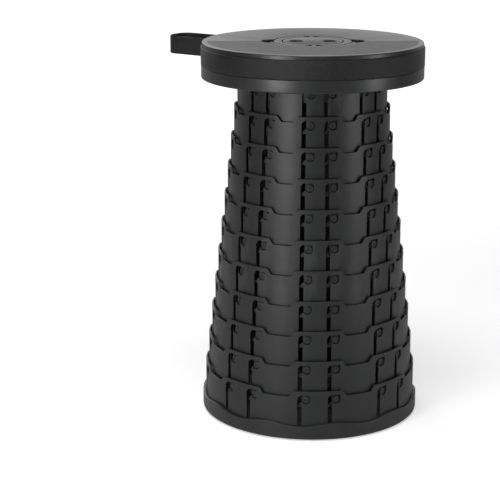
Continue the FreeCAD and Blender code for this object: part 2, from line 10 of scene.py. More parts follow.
import bmesh
import bpy
from bmesh.types import BMEdge, BMesh, BMFace, BMVert
from mathutils import Matrix, Vector
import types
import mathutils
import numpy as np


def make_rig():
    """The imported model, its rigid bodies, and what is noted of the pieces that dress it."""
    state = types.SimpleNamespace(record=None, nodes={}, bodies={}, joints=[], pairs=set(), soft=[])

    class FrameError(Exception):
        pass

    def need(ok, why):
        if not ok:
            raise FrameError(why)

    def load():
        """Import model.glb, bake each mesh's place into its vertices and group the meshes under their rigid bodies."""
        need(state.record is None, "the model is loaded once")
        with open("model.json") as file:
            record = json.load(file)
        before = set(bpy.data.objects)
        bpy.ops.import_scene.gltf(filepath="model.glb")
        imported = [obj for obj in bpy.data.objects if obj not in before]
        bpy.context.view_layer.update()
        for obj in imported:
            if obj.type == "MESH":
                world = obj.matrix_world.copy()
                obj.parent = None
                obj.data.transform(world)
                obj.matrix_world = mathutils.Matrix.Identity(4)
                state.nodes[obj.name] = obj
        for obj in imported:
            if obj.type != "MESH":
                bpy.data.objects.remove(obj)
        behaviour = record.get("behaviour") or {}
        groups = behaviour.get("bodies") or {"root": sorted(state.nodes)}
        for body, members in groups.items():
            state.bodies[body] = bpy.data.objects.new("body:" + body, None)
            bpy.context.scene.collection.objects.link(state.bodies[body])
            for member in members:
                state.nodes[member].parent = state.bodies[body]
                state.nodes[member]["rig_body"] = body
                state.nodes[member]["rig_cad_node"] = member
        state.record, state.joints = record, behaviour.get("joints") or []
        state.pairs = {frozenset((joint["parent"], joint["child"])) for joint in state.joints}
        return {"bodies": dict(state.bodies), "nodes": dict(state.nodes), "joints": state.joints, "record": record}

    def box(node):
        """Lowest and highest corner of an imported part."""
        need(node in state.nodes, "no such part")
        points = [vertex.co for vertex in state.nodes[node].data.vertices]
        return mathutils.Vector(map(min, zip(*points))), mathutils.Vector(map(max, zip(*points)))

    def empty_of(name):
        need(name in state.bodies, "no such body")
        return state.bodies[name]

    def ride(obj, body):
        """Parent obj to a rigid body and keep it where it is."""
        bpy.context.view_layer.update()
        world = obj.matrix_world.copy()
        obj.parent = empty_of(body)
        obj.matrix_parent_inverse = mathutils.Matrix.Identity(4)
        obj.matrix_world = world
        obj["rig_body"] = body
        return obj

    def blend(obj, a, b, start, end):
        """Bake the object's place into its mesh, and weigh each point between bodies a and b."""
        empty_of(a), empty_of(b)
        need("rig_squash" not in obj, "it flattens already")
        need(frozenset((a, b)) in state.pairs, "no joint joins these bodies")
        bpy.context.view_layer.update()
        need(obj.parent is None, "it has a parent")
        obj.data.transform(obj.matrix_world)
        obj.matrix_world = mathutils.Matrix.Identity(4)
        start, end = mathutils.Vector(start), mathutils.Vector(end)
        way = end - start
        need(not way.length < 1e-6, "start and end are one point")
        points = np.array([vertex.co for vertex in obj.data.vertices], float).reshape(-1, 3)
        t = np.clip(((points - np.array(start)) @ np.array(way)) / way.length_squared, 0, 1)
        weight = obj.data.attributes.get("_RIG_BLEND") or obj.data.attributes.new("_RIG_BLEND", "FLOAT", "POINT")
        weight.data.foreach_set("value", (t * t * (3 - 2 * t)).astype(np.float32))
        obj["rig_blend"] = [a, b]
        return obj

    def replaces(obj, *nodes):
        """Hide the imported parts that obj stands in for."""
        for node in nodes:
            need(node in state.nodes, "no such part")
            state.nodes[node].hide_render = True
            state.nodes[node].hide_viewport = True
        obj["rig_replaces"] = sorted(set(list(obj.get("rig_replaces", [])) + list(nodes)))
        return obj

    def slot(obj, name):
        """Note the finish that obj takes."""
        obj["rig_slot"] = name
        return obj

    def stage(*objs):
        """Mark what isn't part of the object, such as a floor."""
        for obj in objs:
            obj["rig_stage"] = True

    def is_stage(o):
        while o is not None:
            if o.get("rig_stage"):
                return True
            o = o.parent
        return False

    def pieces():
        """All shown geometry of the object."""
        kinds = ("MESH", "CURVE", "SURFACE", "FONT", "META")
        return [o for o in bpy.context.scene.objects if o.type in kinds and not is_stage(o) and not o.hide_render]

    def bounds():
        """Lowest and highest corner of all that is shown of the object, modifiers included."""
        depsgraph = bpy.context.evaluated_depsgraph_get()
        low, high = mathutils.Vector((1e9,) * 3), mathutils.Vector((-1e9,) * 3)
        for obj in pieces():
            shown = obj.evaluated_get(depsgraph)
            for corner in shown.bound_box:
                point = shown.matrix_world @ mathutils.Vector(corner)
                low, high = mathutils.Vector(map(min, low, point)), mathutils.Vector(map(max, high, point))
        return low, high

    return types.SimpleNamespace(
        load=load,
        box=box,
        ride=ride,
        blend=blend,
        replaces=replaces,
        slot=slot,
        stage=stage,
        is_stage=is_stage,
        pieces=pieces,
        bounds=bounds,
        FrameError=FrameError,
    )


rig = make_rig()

LOG = logging.getLogger("stool")
MM = 0.001
UP = Vector((0, 0, 1))
SIDEWAYS = Vector((1, 0, 0))
BACKWARDS = Vector((0, 1, 0))

# Points closer than these are one point, meet where repeated panels join, lie at the same height, or lie on
# the same round skin.
WELD = 1e-7
SEAM = 0.02 * MM
LEVEL = 1e-6
SKIN = 0.05 * MM

Point = tuple[float, float]
Colour = tuple[float, float, float]
Feed = bpy.types.NodeSocket | float | Colour
Sockets = bpy.types.bpy_prop_collection


class RecordSlot(Enum):
    """The record's material slots that new pieces take their finish from."""

    RINGS = "ring_plastic"
    SEAT = "seat_plastic"
    WEBBING = "webbing"
    STEEL = "screw_steel"


class Rim(IntEnum):
    """The kinds of open edge on a plate, which are softened by different amounts."""

    NONE = 0
    CASTLE = 1
    SLOT = 2
    SLOT_RAMP = 3
    FOOT = 4
    HOLE = 5


def arc_points(centre: Point, radius: float, start: float, end: float, steps: int) -> list[Point]:
    """Points along an arc.

    Args:
        centre: The arc's centre.
        radius: Its radius.
        start: The first point's angle in degrees.
        end: The last point's angle in degrees.
        steps: The number of equal steps between them.

    Returns:
        The points, both ends included.
    """
    angles = [math.radians(start + (end - start) * step / steps) for step in range(steps + 1)]
    return [(centre[0] + radius * math.cos(a), centre[1] + radius * math.sin(a)) for a in angles]


def circle(radius: float, steps: int, centre: Point = (0.0, 0.0)) -> list[Point]:
    """A full circle's points, the first one not repeated."""
    return arc_points(centre, radius, 0, 360, steps)[:-1]


def rounded_corner(before: Point, corner: Point, after: Point, radius: float, steps: int) -> list[Point]:
    """Replace a corner by a tangent arc.

    Args:
        before: The point before the corner.
        corner: The corner.
        after: The point after it.
        radius: The arc's radius.
        steps: The number of steps along the arc.

    Returns:
        The arc's points, or the corner alone where the radius is zero.
    """
    if radius <= 0:
        return [corner]
    here = Vector(corner)
    back = (Vector(before) - here).normalized()
    ahead = (Vector(after) - here).normalized()
    half = back.angle(ahead) / 2
    reach = radius / math.tan(half)
    centre = here + (back + ahead).normalized() * (radius / math.sin(half))
    first = here + back * reach - centre
    last = here + ahead * reach - centre
    turn = first.angle_signed(last)
    points = []
    for step in range(steps + 1):
        angle = -turn * step / steps
        spoke = Vector((
            first.x * math.cos(angle) - first.y * math.sin(angle),
            first.x * math.sin(angle) + first.y * math.cos(angle),
        ))
        points.append(tuple(centre + spoke))
    return points


def rounded_path(
    corners: Sequence[tuple[float, float, float]], steps: int = 6, closed: bool = False,
) -> list[Point]:
    """Round the corners of a line.

    Args:
        corners: Each corner as x, y and radius.
        steps: Steps along each arc.
        closed: Whether the line closes on itself.

    Returns:
        The rounded line's points.
    """
    points: list[Point] = []
    count = len(corners)
    for index, (x, y, radius) in enumerate(corners):
        if not closed and index in (0, count - 1):
            points.append((x, y))
            continue
        before = corners[index - 1][:2]
        after = corners[(index + 1) % count][:2]
        points += rounded_corner(before, (x, y), after, radius, steps)
    return points


def even_cuts(half: float, parts: int) -> list[float]:
    """The places that cut the stretch from -half to half into equal parts."""
    return [half * (2 * index / parts - 1) for index in range(1, parts)]


def distance_out(point: Vector) -> float:
    """A point's distance from the upright axis."""
    return math.hypot(point.x, point.y)


def direction(turn: float) -> Vector:
    """The level direction outwards at a turn in degrees, counted from the front towards +X."""
    angle = math.radians(turn)
    return Vector((math.sin(angle), -math.cos(angle), 0.0))


def standing_out(turn: float, reach: float, height: float) -> Matrix:
    """Where a piece goes that stands out from the upright axis.

    Args:
        turn: The direction outwards, in degrees.
        reach: How far out its origin lies.
        height: How high it lies.

    Returns:
        The matrix, with local Z pointing out and local Y up.
    """
    out = direction(turn)
    place = Matrix((UP.cross(out), UP, out)).transposed().to_4x4()
    place.translation = out * reach + UP * height
    return place


def turned(turn: float, height: float = 0.0) -> Matrix:
    """A turn in degrees about the upright axis, followed by a lift."""
    return Matrix.Translation((0, 0, height)) @ Matrix.Rotation(math.radians(turn), 4, "Z")


def wrapped(radius: float) -> Callable[[Vector], Vector]:
    """A function that wraps a flat sheet, drawn in arc length and height, round a cylinder."""
    return lambda flat: direction(math.degrees(flat.x / radius)) * radius + UP * flat.y


def drawn_in(depth: float) -> Callable[[Vector], Vector]:
    """A function that moves a point towards the upright axis."""
    return lambda point: point - Vector((point.x, point.y, 0.0)).normalized() * depth


def on_skin(radius: float) -> Callable[[BMEdge], bool]:
    """A test for edges on the outer skin of a round wall."""
    return lambda edge: all(distance_out(vert.co) > radius - SKIN for vert in edge.verts)


def at_height(height: float) -> Callable[[BMEdge], bool]:
    """A test for level edges at a height."""
    return lambda edge: all(abs(vert.co.z - height) < LEVEL for vert in edge.verts)


def object_from(draft: BMesh, name: str, sharp: float = 32.0) -> bpy.types.Object:
    """Turn a bmesh into a smooth-shaded object at the origin.

    Args:
        draft: The bmesh, which is freed.
        name: The object's name.
        sharp: Edges that turn by more than this many degrees stay sharp.

    Returns:
        The new object, linked to the scene.
    """
    data = bpy.data.meshes.new(name)
    draft.to_mesh(data)
    draft.free()
    data.polygons.foreach_set("use_smooth", [True] * len(data.polygons))
    data.set_sharp_from_angle(angle=math.radians(sharp))
    piece = bpy.data.objects.new(name, data)
    bpy.context.collection.objects.link(piece)
    return piece


def shade_as_cylinder(data: bpy.types.Mesh, nearly: float = 0.995) -> None:
    """Give the upright walls of a mesh the normals of a cylinder about the upright axis.

    Args:
        data: The mesh.
        nearly: How closely a face has to look outwards or inwards to be such a wall.
    """
    normals = [Vector(corner.vector) for corner in data.corner_normals]
    for polygon in data.polygons:
        middle = Vector((polygon.center.x, polygon.center.y, 0.0)).normalized()
        facing = polygon.normal.dot(middle)
        if abs(facing) < nearly:
            continue
        for loop in polygon.loop_indices:
            place = data.vertices[data.loops[loop].vertex_index].co
            spoke = Vector((place.x, place.y, 0.0)).normalized()
            normals[loop] = spoke if facing > 0 else -spoke
    data.normals_split_custom_set(normals)


def pour(source: BMesh, target: BMesh) -> None:
    """Add one bmesh to another and free the first."""
    data = bpy.data.meshes.new("poured")
    source.to_mesh(data)
    source.free()
    target.from_mesh(data)
    bpy.data.meshes.remove(data)


def revolve(outline: Sequence[Point], steps: int = 160) -> BMesh:
    """Spin a closed outline of radius and height about the upright axis.

    Args:
        outline: The outline, in metres. Points on the axis close the shape.
        steps: Steps round the axis.

    Returns:
        The closed solid as a bmesh.
    """
    draft = bmesh.new()
    verts = [draft.verts.new((0.0, -radius, height)) for radius, height in outline]
    pairs = zip(verts, verts[1:] + verts[:1])
    edges = [draft.edges.new(pair) for pair in pairs if any(vert.co.y for vert in pair)]
    bmesh.ops.spin(
        draft, geom=verts + edges, cent=(0, 0, 0), axis=UP, angle=2 * math.pi, steps=steps, use_merge=True,
        use_duplicate=False, use_normal_flip=False,
    )
    bmesh.ops.remove_doubles(draft, verts=draft.verts[:], dist=LEVEL)
    bmesh.ops.recalc_face_normals(draft, faces=draft.faces[:])
    return draft


def dimpled_boss(radius: float, depth: float, dimple: float, segments: int, rounding: float) -> BMesh:
    """A short drum with a softened rim and a shallow dimple in its outer end, whose middle is the origin.

    Args:
        radius: The drum's radius.
        depth: Its length.
        dimple: The dimple's radius.
        segments: Facets round the drum.
        rounding: The softened rim's width, and the dimple's depth.

    Returns:
        The drum as a bmesh, with local Z pointing out.
    """
    boss = bmesh.new()
    bmesh.ops.create_cone(
        boss, cap_ends=True, cap_tris=False, segments=segments, radius1=radius, radius2=radius, depth=depth,
    )
    bmesh.ops.translate(boss, verts=boss.verts[:], vec=(0, 0, -depth / 2))
    end = max(boss.faces, key=lambda face: face.calc_center_median().z)
    bmesh.ops.bevel(
        boss, geom=end.edges[:], offset=rounding, segments=2, affect="EDGES", profile=0.5, material=-1,
    )
    end = max(boss.faces, key=lambda face: face.calc_center_median().z)
    bmesh.ops.inset_region(boss, faces=[end], thickness=radius - rounding - dimple, depth=0)
    bmesh.ops.inset_region(boss, faces=[end], thickness=0.3 * MM, depth=-rounding)
    return boss


class Plate:
    """A sheet cut to an outline with holes, given a wall and softened edges, on bmesh operators."""

    def __init__(self) -> None:
        """Start an empty plate."""
        self.mesh: BMesh = bmesh.new()
        self.rim = self.mesh.edges.layers.int.new("rim")

    def line(self, points: Sequence[Point], rims: Rim | Sequence[Rim]) -> None:
        """Draw a closed outline.

        Args:
            points: The outline's corners, in the sheet's plane.
            rims: The kind of every edge, or for each point the kind of the edge that leaves it.
        """
        kinds = [rims] * len(points) if isinstance(rims, Rim) else rims
        verts = [self.mesh.verts.new((x, y, 0.0)) for x, y in points]
        for start, end, kind in zip(verts, verts[1:] + verts[:1], kinds):
            self.mesh.edges.new((start, end))[self.rim] = int(kind)

    def fill(self) -> None:
        """Fill the sheet between its outline and its holes."""
        bmesh.ops.remove_doubles(self.mesh, verts=self.mesh.verts[:], dist=WELD)
        bmesh.ops.triangle_fill(self.mesh, use_beauty=True, edges=self.mesh.edges[:], normal=UP)

    def slice(self, places: Iterable[float], axis: Vector) -> None:
        """Cut the faces along parallel lines, so that they can bend or be lowered.

        Args:
            places: How far along the axis each cut lies.
            axis: The cuts' normal.
        """
        for place in places:
            geometry = self.mesh.verts[:] + self.mesh.edges[:] + self.mesh.faces[:]
            bmesh.ops.bisect_plane(self.mesh, geom=geometry, dist=WELD, plane_co=axis * place, plane_no=axis)

    def band(self, low: float, high: float) -> list[BMFace]:
        """The faces whose middles lie between two places along Y."""
        return [face for face in self.mesh.faces if low < face.calc_center_median().y < high]

    def sink(self, low: float, high: float, spans: Sequence[Point], slope: float, depth: float) -> None:
        """Sink stretches of a band of faces that runs along X.

        Args:
            low: The band's lower edge along Y.
            high: Its upper edge.
            spans: Where each stretch starts and ends along X.
            slope: The width of the sloping edge round a sunk stretch.
            depth: How deep it is.
        """
        for place in sorted({place for span in spans for place in span}, key=abs, reverse=True):
            faces = self.band(low, high)
            parts = {item for face in faces for item in (*face.edges, *face.verts)}
            bmesh.ops.bisect_plane(
                self.mesh, geom=faces + list(parts), dist=WELD, plane_co=(place, 0, 0), plane_no=SIDEWAYS,
            )
        for start, end in spans:
            chosen = [face for face in self.band(low, high) if start < face.calc_center_median().x < end]
            bmesh.ops.inset_region(
                self.mesh, faces=chosen, use_boundary=True, use_even_offset=True, thickness=slope,
                depth=-depth,
            )

    def move(self, place: Callable[[Vector], Vector]) -> None:
        """Put every point where a function sends it."""
        for vert in self.mesh.verts:
            vert.co = place(vert.co)

    def repeat(self, count: int) -> None:
        """Repeat the mesh about the upright axis and weld the copies.

        Args:
            count: The number of copies in a full turn.
        """
        first = self.mesh.verts[:] + self.mesh.edges[:] + self.mesh.faces[:]
        for index in range(1, count):
            copy = bmesh.ops.duplicate(self.mesh, geom=first)["geom"]
            verts = [item for item in copy if isinstance(item, BMVert)]
            turn = Matrix.Rotation(2 * math.pi * index / count, 3, "Z")
            bmesh.ops.rotate(self.mesh, verts=verts, cent=(0, 0, 0), matrix=turn)
        bmesh.ops.remove_doubles(self.mesh, verts=self.mesh.verts[:], dist=SEAM)

    def thicken(self, inner_place: Callable[[Vector], Vector]) -> None:
        """Give the sheet a wall: a second skin where a function sends the first, and rims between them."""
        result = bmesh.ops.extrude_face_region(self.mesh, geom=self.mesh.faces[:], use_keep_orig=True)
        for item in result["geom"]:
            if isinstance(item, BMVert):
                item.co = inner_place(item.co)
        bmesh.ops.recalc_face_normals(self.mesh, faces=self.mesh.faces[:])

    def stand(self, top: float, low: float) -> None:
        """Lift a flat plate to a height and give it its thickness.

        Args:
            top: The height of its upper face.
            low: The height of its underside.
        """
        self.move(lambda point: point + UP * top)
        self.thicken(lambda point: Vector((point.x, point.y, low)))

    def soften(
        self, rims: Iterable[Rim], offset: float, segments: int, keep: Callable[[BMEdge], bool],
    ) -> None:
        """Bevel the edges of some kinds.

        Args:
            rims: The kinds of edge.
            offset: The bevel's width in metres.
            segments: Its steps.
            keep: A test that picks the edges to bevel among them.
        """
        kinds = {int(rim) for rim in rims}
        found = [edge for edge in self.mesh.edges if edge[self.rim] in kinds and edge.is_manifold]
        bmesh.ops.bevel(
            self.mesh, geom=[edge for edge in found if keep(edge)], offset=offset, segments=segments,
            affect="EDGES", profile=0.5, material=-1, clamp_overlap=True,
        )

    def finish(self, name: str, round_wall: bool = False) -> bpy.types.Object:
        """Turn the draft into an object at the origin.

        Args:
            name: The piece's name.
            round_wall: Whether upright walls are shaded as true cylinders about the upright axis.

        Returns:
            The new object, linked to the scene.
        """
        piece = object_from(self.mesh, name)
        if round_wall:
            shade_as_cylinder(piece.data)
        return piece


class NodeBoard:
    """A node tree with short ways to add its nodes and join them."""

    def __init__(self, tree: bpy.types.NodeTree) -> None:
        """Take a tree."""
        self.tree = tree

    def node(self, kind: str, **settings: object) -> bpy.types.Node:
        """Add a node and set its properties.

        Args:
            kind: The node's type.
            settings: Its properties by name.

        Returns:
            The node.
        """
        made = self.tree.nodes.new(kind)
        for name, value in settings.items():
            setattr(made, name, value)
        return made

    def join(self, source: Feed, target: bpy.types.NodeSocket) -> None:
        """Feed a socket from another one, or set a number or a colour on it.

        Args:
            source: The other socket, the number or the colour.
            target: The socket.
        """
        if isinstance(source, bpy.types.NodeSocket):
            self.tree.links.new(source, target)
        elif isinstance(source, tuple):
            target.default_value = (*source, 1.0)
        else:
            target.default_value = source

    def math(self, operation: str, *values: Feed, clamp: bool = False) -> bpy.types.NodeSocket:
        """Join numbers.

        Args:
            operation: The way of joining.
            values: The numbers, each a socket or a plain number.
            clamp: Whether the result stays between 0 and 1.

        Returns:
            The result.
        """
        made = self.node("ShaderNodeMath", operation=operation, use_clamp=clamp)
        for value, socket in zip(values, made.inputs):
            self.join(value, socket)
        return made.outputs[0]

    def noise(
        self, place: bpy.types.NodeSocket, scale: Feed, detail: float, roughness: float = 0.5,
    ) -> bpy.types.NodeSocket:
        """A cloudy noise from 0 to 1.

        Args:
            place: The coordinates that it reads.
            scale: Its clouds per metre.
            detail: How many finer layers it has.
            roughness: How strong they are.

        Returns:
            The noise's value.
        """
        made = self.node("ShaderNodeTexNoise")
        for name, value in (("Vector", place), ("Scale", scale)):
            self.join(value, made.inputs[name])
        for name, value in (("Detail", detail), ("Roughness", roughness)):
            self.join(value, made.inputs[name])
        return made.outputs["Fac"]

    def ranged(
        self, value: bpy.types.NodeSocket, span: Point = (0.0, 1.0), result: Point = (0.0, 1.0),
        way: str = "LINEAR",
    ) -> bpy.types.NodeSocket:
        """Turn a value from one span into another.

        Args:
            value: The value.
            span: The value's two ends.
            result: What they become.
            way: How it goes from one end to the other.

        Returns:
            The new value.
        """
        made = self.node("ShaderNodeMapRange", interpolation_type=way)
        names = ("Value", "From Min", "From Max", "To Min", "To Max")
        for name, number in zip(names, (value, *span, *result)):
            self.join(number, made.inputs[name])
        return made.outputs["Result"]

    def part_of(self, vector: bpy.types.NodeSocket, axis: str) -> bpy.types.NodeSocket:
        """One coordinate of a vector."""
        made = self.node("ShaderNodeSeparateXYZ")
        self.join(vector, made.inputs[0])
        return made.outputs[axis]


class SharedEffects:
    """Shader node groups that more than one finish uses, each built once."""

    def __init__(self) -> None:
        """Build every group."""
        self.grain = self._moulded_grain()
        self.wear_and_highlight = self._edge_wear_and_highlight()
        self.dust = self._settled_dust()

    @staticmethod
    def _group(name: str, amount: str, usual: float, results: Sequence[str]) -> tuple[NodeBoard, Sockets, Sockets]:
        """Start a group that reads a place and a number.

        Args:
            name: The group's name.
            amount: The number's name.
            usual: What the number is unless it is set.
            results: The names of the values that the group gives.

        Returns:
            The group's board, the sockets that it takes and the sockets that it gives.
        """
        tree = bpy.data.node_groups.new(name, "ShaderNodeTree")
        tree.interface.new_socket("Place", in_out="INPUT", socket_type="NodeSocketVector")
        number = tree.interface.new_socket(amount, in_out="INPUT", socket_type="NodeSocketFloat")
        number.default_value = usual
        for result in results:
            tree.interface.new_socket(result, in_out="OUTPUT", socket_type="NodeSocketFloat")
        board = NodeBoard(tree)
        return board, board.node("NodeGroupInput").outputs, board.node("NodeGroupOutput").inputs

    def _moulded_grain(self) -> bpy.types.NodeTree:
        """The fine spark-eroded texture of moulded plastic, with slow changes of tone.

        Returns:
            The group, from a place and a grain size to a height and a tone from 0 to 1.
        """
        board, taken, given = self._group("moulded_grain", "Grain per metre", 1500.0, ("Height", "Tone"))
        place, scale = taken["Place"], taken["Grain per metre"]
        pits = board.node("ShaderNodeTexVoronoi")
        board.join(place, pits.inputs["Vector"])
        board.join(scale, pits.inputs["Scale"])
        fine = board.noise(place, scale, detail=3.0, roughness=0.6)
        board.join(board.math("ADD", fine, pits.outputs["Distance"]), given["Height"])
        board.join(board.noise(place, scale=26.0, detail=4.0), given["Tone"])
        return board.tree

    def _edge_wear_and_highlight(self) -> bpy.types.NodeTree:
        """Paler convex edges, partly rubbed wear and partly a painted highlight, broken up by a coarse noise.

        Returns:
            The group, from a place and an amount to a mask from 0 to 1.
        """
        board, taken, given = self._group("edge_wear_and_highlight", "Amount", 0.5, ("Mask",))
        pointed = board.node("ShaderNodeNewGeometry").outputs["Pointiness"]
        # Painted edge highlight as well as wear: convex edges, found by pointiness, get a pale mask.
        edge = board.ranged(pointed, (0.51, 0.60))
        patches = board.noise(taken["Place"], scale=90.0, detail=5.0)
        broken = board.math("MULTIPLY", edge, patches)
        board.join(board.math("MULTIPLY", broken, taken["Amount"], clamp=True), given["Mask"])
        return board.tree

    def _settled_dust(self) -> bpy.types.NodeTree:
        """A thin film of dust and handling marks on faces that look up.

        Returns:
            The group, from a place and an amount to a mask from 0 to 1.
        """
        board, taken, given = self._group("settled_dust", "Amount", 0.3, ("Mask",))
        facing = board.part_of(board.node("ShaderNodeNewGeometry").outputs["Normal"], "Z")
        upward = board.ranged(facing, (0.3, 1.0))
        clouds = board.noise(taken["Place"], scale=38.0, detail=6.0)
        thin = board.math("MULTIPLY", upward, clouds)
        board.join(board.math("MULTIPLY", thin, taken["Amount"]), given["Mask"])
        return board.tree


class Finish(NodeBoard):
    """What every finish shares: a material with a Principled shader, fed from its nodes."""

    def __init__(self, name: str) -> None:
        """Start a material.

        Args:
            name: The material's name.
        """
        self.material = bpy.data.materials.new(name)
        self.material.use_nodes = True
        super().__init__(self.material.node_tree)
        self.shader = self.tree.nodes["Principled BSDF"]
        self.place = self.node("ShaderNodeTexCoord").outputs["Object"]

    def dress(self, socket: str, value: Feed) -> None:
        """Feed one of the shader's sockets."""
        self.join(value, self.shader.inputs[socket])

    def effect(self, group: bpy.types.NodeTree, **values: float) -> Sockets:
        """Place a shared effect in the material.

        Args:
            group: The shader group.
            values: Its numbers, with underscores for the spaces in their names.

        Returns:
            The values that it gives, by name.
        """
        made = self.node("ShaderNodeGroup", node_tree=group)
        self.join(self.place, made.inputs["Place"])
        for name, value in values.items():
            self.join(value, made.inputs[name.replace("_", " ")])
        return made.outputs

    def mix(self, factor: bpy.types.NodeSocket, first: Feed, second: Feed) -> bpy.types.NodeSocket:
        """Mix two colours.

        Args:
            factor: How much of the second colour there is.
            first: The first colour.
            second: The second colour.

        Returns:
            The mixed colour.
        """
        made = self.node("ShaderNodeMix", data_type="RGBA")
        for index, value in ((0, factor), (6, first), (7, second)):
            self.join(value, made.inputs[index])
        return made.outputs[2]

    def bump(self, height: bpy.types.NodeSocket, strength: float, distance: float) -> None:
        """Raise the surface by a height map.

        Args:
            height: The height, from 0 to 1.
            strength: How strongly it shows.
            distance: The height of 1, in metres.
        """
        raised = self.node("ShaderNodeBump")
        for name, value in (("Height", height), ("Strength", strength), ("Distance", distance)):
            self.join(value, raised.inputs[name])
        self.dress("Normal", raised.outputs["Normal"])


@dataclass(frozen=True)
class MouldedPlastic:
    """Charcoal polypropylene from a textured mould."""

    colour: Colour
    # The pale colour of convex edges: rubbed wear and a painted edge highlight.
    rubbed_and_highlit: Colour
    roughness: float
    roughness_spread: float
    grain: float
    grain_height: float
    wear_and_highlight: float
    dust: float
    dust_colour: Colour = (0.16, 0.16, 0.155)
    mottle: float = 0.18
    refraction: float = 1.49
    grain_strength: float = 0.35

    def build(self, name: str, effects: SharedEffects) -> bpy.types.Material:
        """Make the material.

        Args:
            name: Its name.
            effects: The shared shader groups.

        Returns:
            The material.
        """
        made = Finish(name)
        grain = made.effect(effects.grain, Grain_per_metre=self.grain)
        wear_and_highlight = made.effect(effects.wear_and_highlight, Amount=self.wear_and_highlight)
        dust = made.effect(effects.dust, Amount=self.dust)
        darker = tuple((1 - self.mottle) * part for part in self.colour)
        paler = tuple((1 + self.mottle) * part for part in self.colour)
        # Convex edges mix towards the paler colour: partly real wear, partly a painted edge highlight.
        worn_and_highlit = made.mix(wear_and_highlight["Mask"], made.mix(grain["Tone"], darker, paler), self.rubbed_and_highlit)
        made.dress("Base Color", made.mix(dust["Mask"], worn_and_highlit, self.dust_colour))
        limits = (self.roughness - self.roughness_spread, self.roughness + self.roughness_spread)
        made.dress("Roughness", made.ranged(grain["Tone"], result=limits))
        made.dress("IOR", self.refraction)
        made.bump(grain["Height"], self.grain_strength, self.grain_height)
        return made.material


@dataclass(frozen=True)
class WovenWebbing:
    """Tightly woven polyester webbing: a twill of fine yarns that follows the strap."""

    yarn: Colour
    # The darker colour painted in the weave's grooves as shade between the yarns.
    groove_shade: Colour
    picks: float
    ends: float
    dust_colour: Colour = (0.12, 0.12, 0.12)
    dust: float = 0.06
    grain: float = 900.0
    twill_share: float = 0.5
    roughness: Point = (0.46, 0.58)
    specular: float = 0.45
    sheen: float = 0.02
    sheen_roughness: float = 0.45
    relief: float = 0.25 * MM
    relief_strength: float = 0.8

    def build(self, name: str, effects: SharedEffects) -> bpy.types.Material:
        """Make the material, which reads the piece's own UV map in metres.

        Args:
            name: Its name.
            effects: The shared shader groups.

        Returns:
            The material.
        """
        made = Finish(name)
        strap = made.node("ShaderNodeUVMap", uv_map="strap").outputs["UV"]
        along, across = made.part_of(strap, "X"), made.part_of(strap, "Y")
        twill = self._wave(made, made.math("ADD", along, across), self.picks / 2)
        picks = self._wave(made, along, self.picks)
        crossing = made.math("MULTIPLY", picks, self._wave(made, across, self.ends))
        weave = made.math("MULTIPLY_ADD", twill, self.twill_share, crossing)
        grain = made.effect(effects.grain, Grain_per_metre=self.grain)
        dust = made.effect(effects.dust, Amount=self.dust)
        # The weave's low grooves take the darker colour: painted shade between the yarns.
        woven = made.mix(weave, self.groove_shade, self.yarn)
        made.dress("Base Color", made.mix(dust["Mask"], woven, self.dust_colour))
        made.dress("Roughness", made.ranged(grain["Tone"], result=self.roughness))
        made.dress("Specular IOR Level", self.specular)
        made.dress("Sheen Weight", self.sheen)
        made.dress("Sheen Roughness", self.sheen_roughness)
        made.bump(weave, self.relief_strength, self.relief)
        return made.material

    @staticmethod
    def _wave(made: Finish, place: bpy.types.NodeSocket, per_metre: float) -> bpy.types.NodeSocket:
        """A wave from 0 to 1 along one coordinate.

        Args:
            made: The finish that it belongs to.
            place: The coordinate in metres.
            per_metre: Waves per metre.

        Returns:
            The wave's value.
        """
        sine = made.math("SINE", made.math("MULTIPLY", place, per_metre * 2 * math.pi))
        return made.math("MULTIPLY_ADD", sine, 0.5, 0.5)


@dataclass(frozen=True)
class PlainMetal:
    """Zinc-plated steel of rivets and screws."""

    colour: Colour
    roughness: float
    spread: float = 0.3
    paler: float = 1.25
    grain: float = 700.0
    grain_strength: float = 0.15
    grain_height: float = 0.04 * MM

    def build(self, name: str, effects: SharedEffects) -> bpy.types.Material:
        """Make the material.

        Args:
            name: Its name.
            effects: The shared shader groups.

        Returns:
            The material.
        """
        made = Finish(name)
        grain = made.effect(effects.grain, Grain_per_metre=self.grain)
        bright = tuple(self.paler * part for part in self.colour)
        made.dress("Base Color", made.mix(grain["Tone"], self.colour, bright))
        made.dress("Metallic", 1.0)
        limits = (self.roughness * (1 - self.spread), self.roughness * (1 + self.spread))
        made.dress("Roughness", made.ranged(grain["Tone"], result=limits))
        made.bump(grain["Height"], self.grain_strength, self.grain_height)
        return made.material


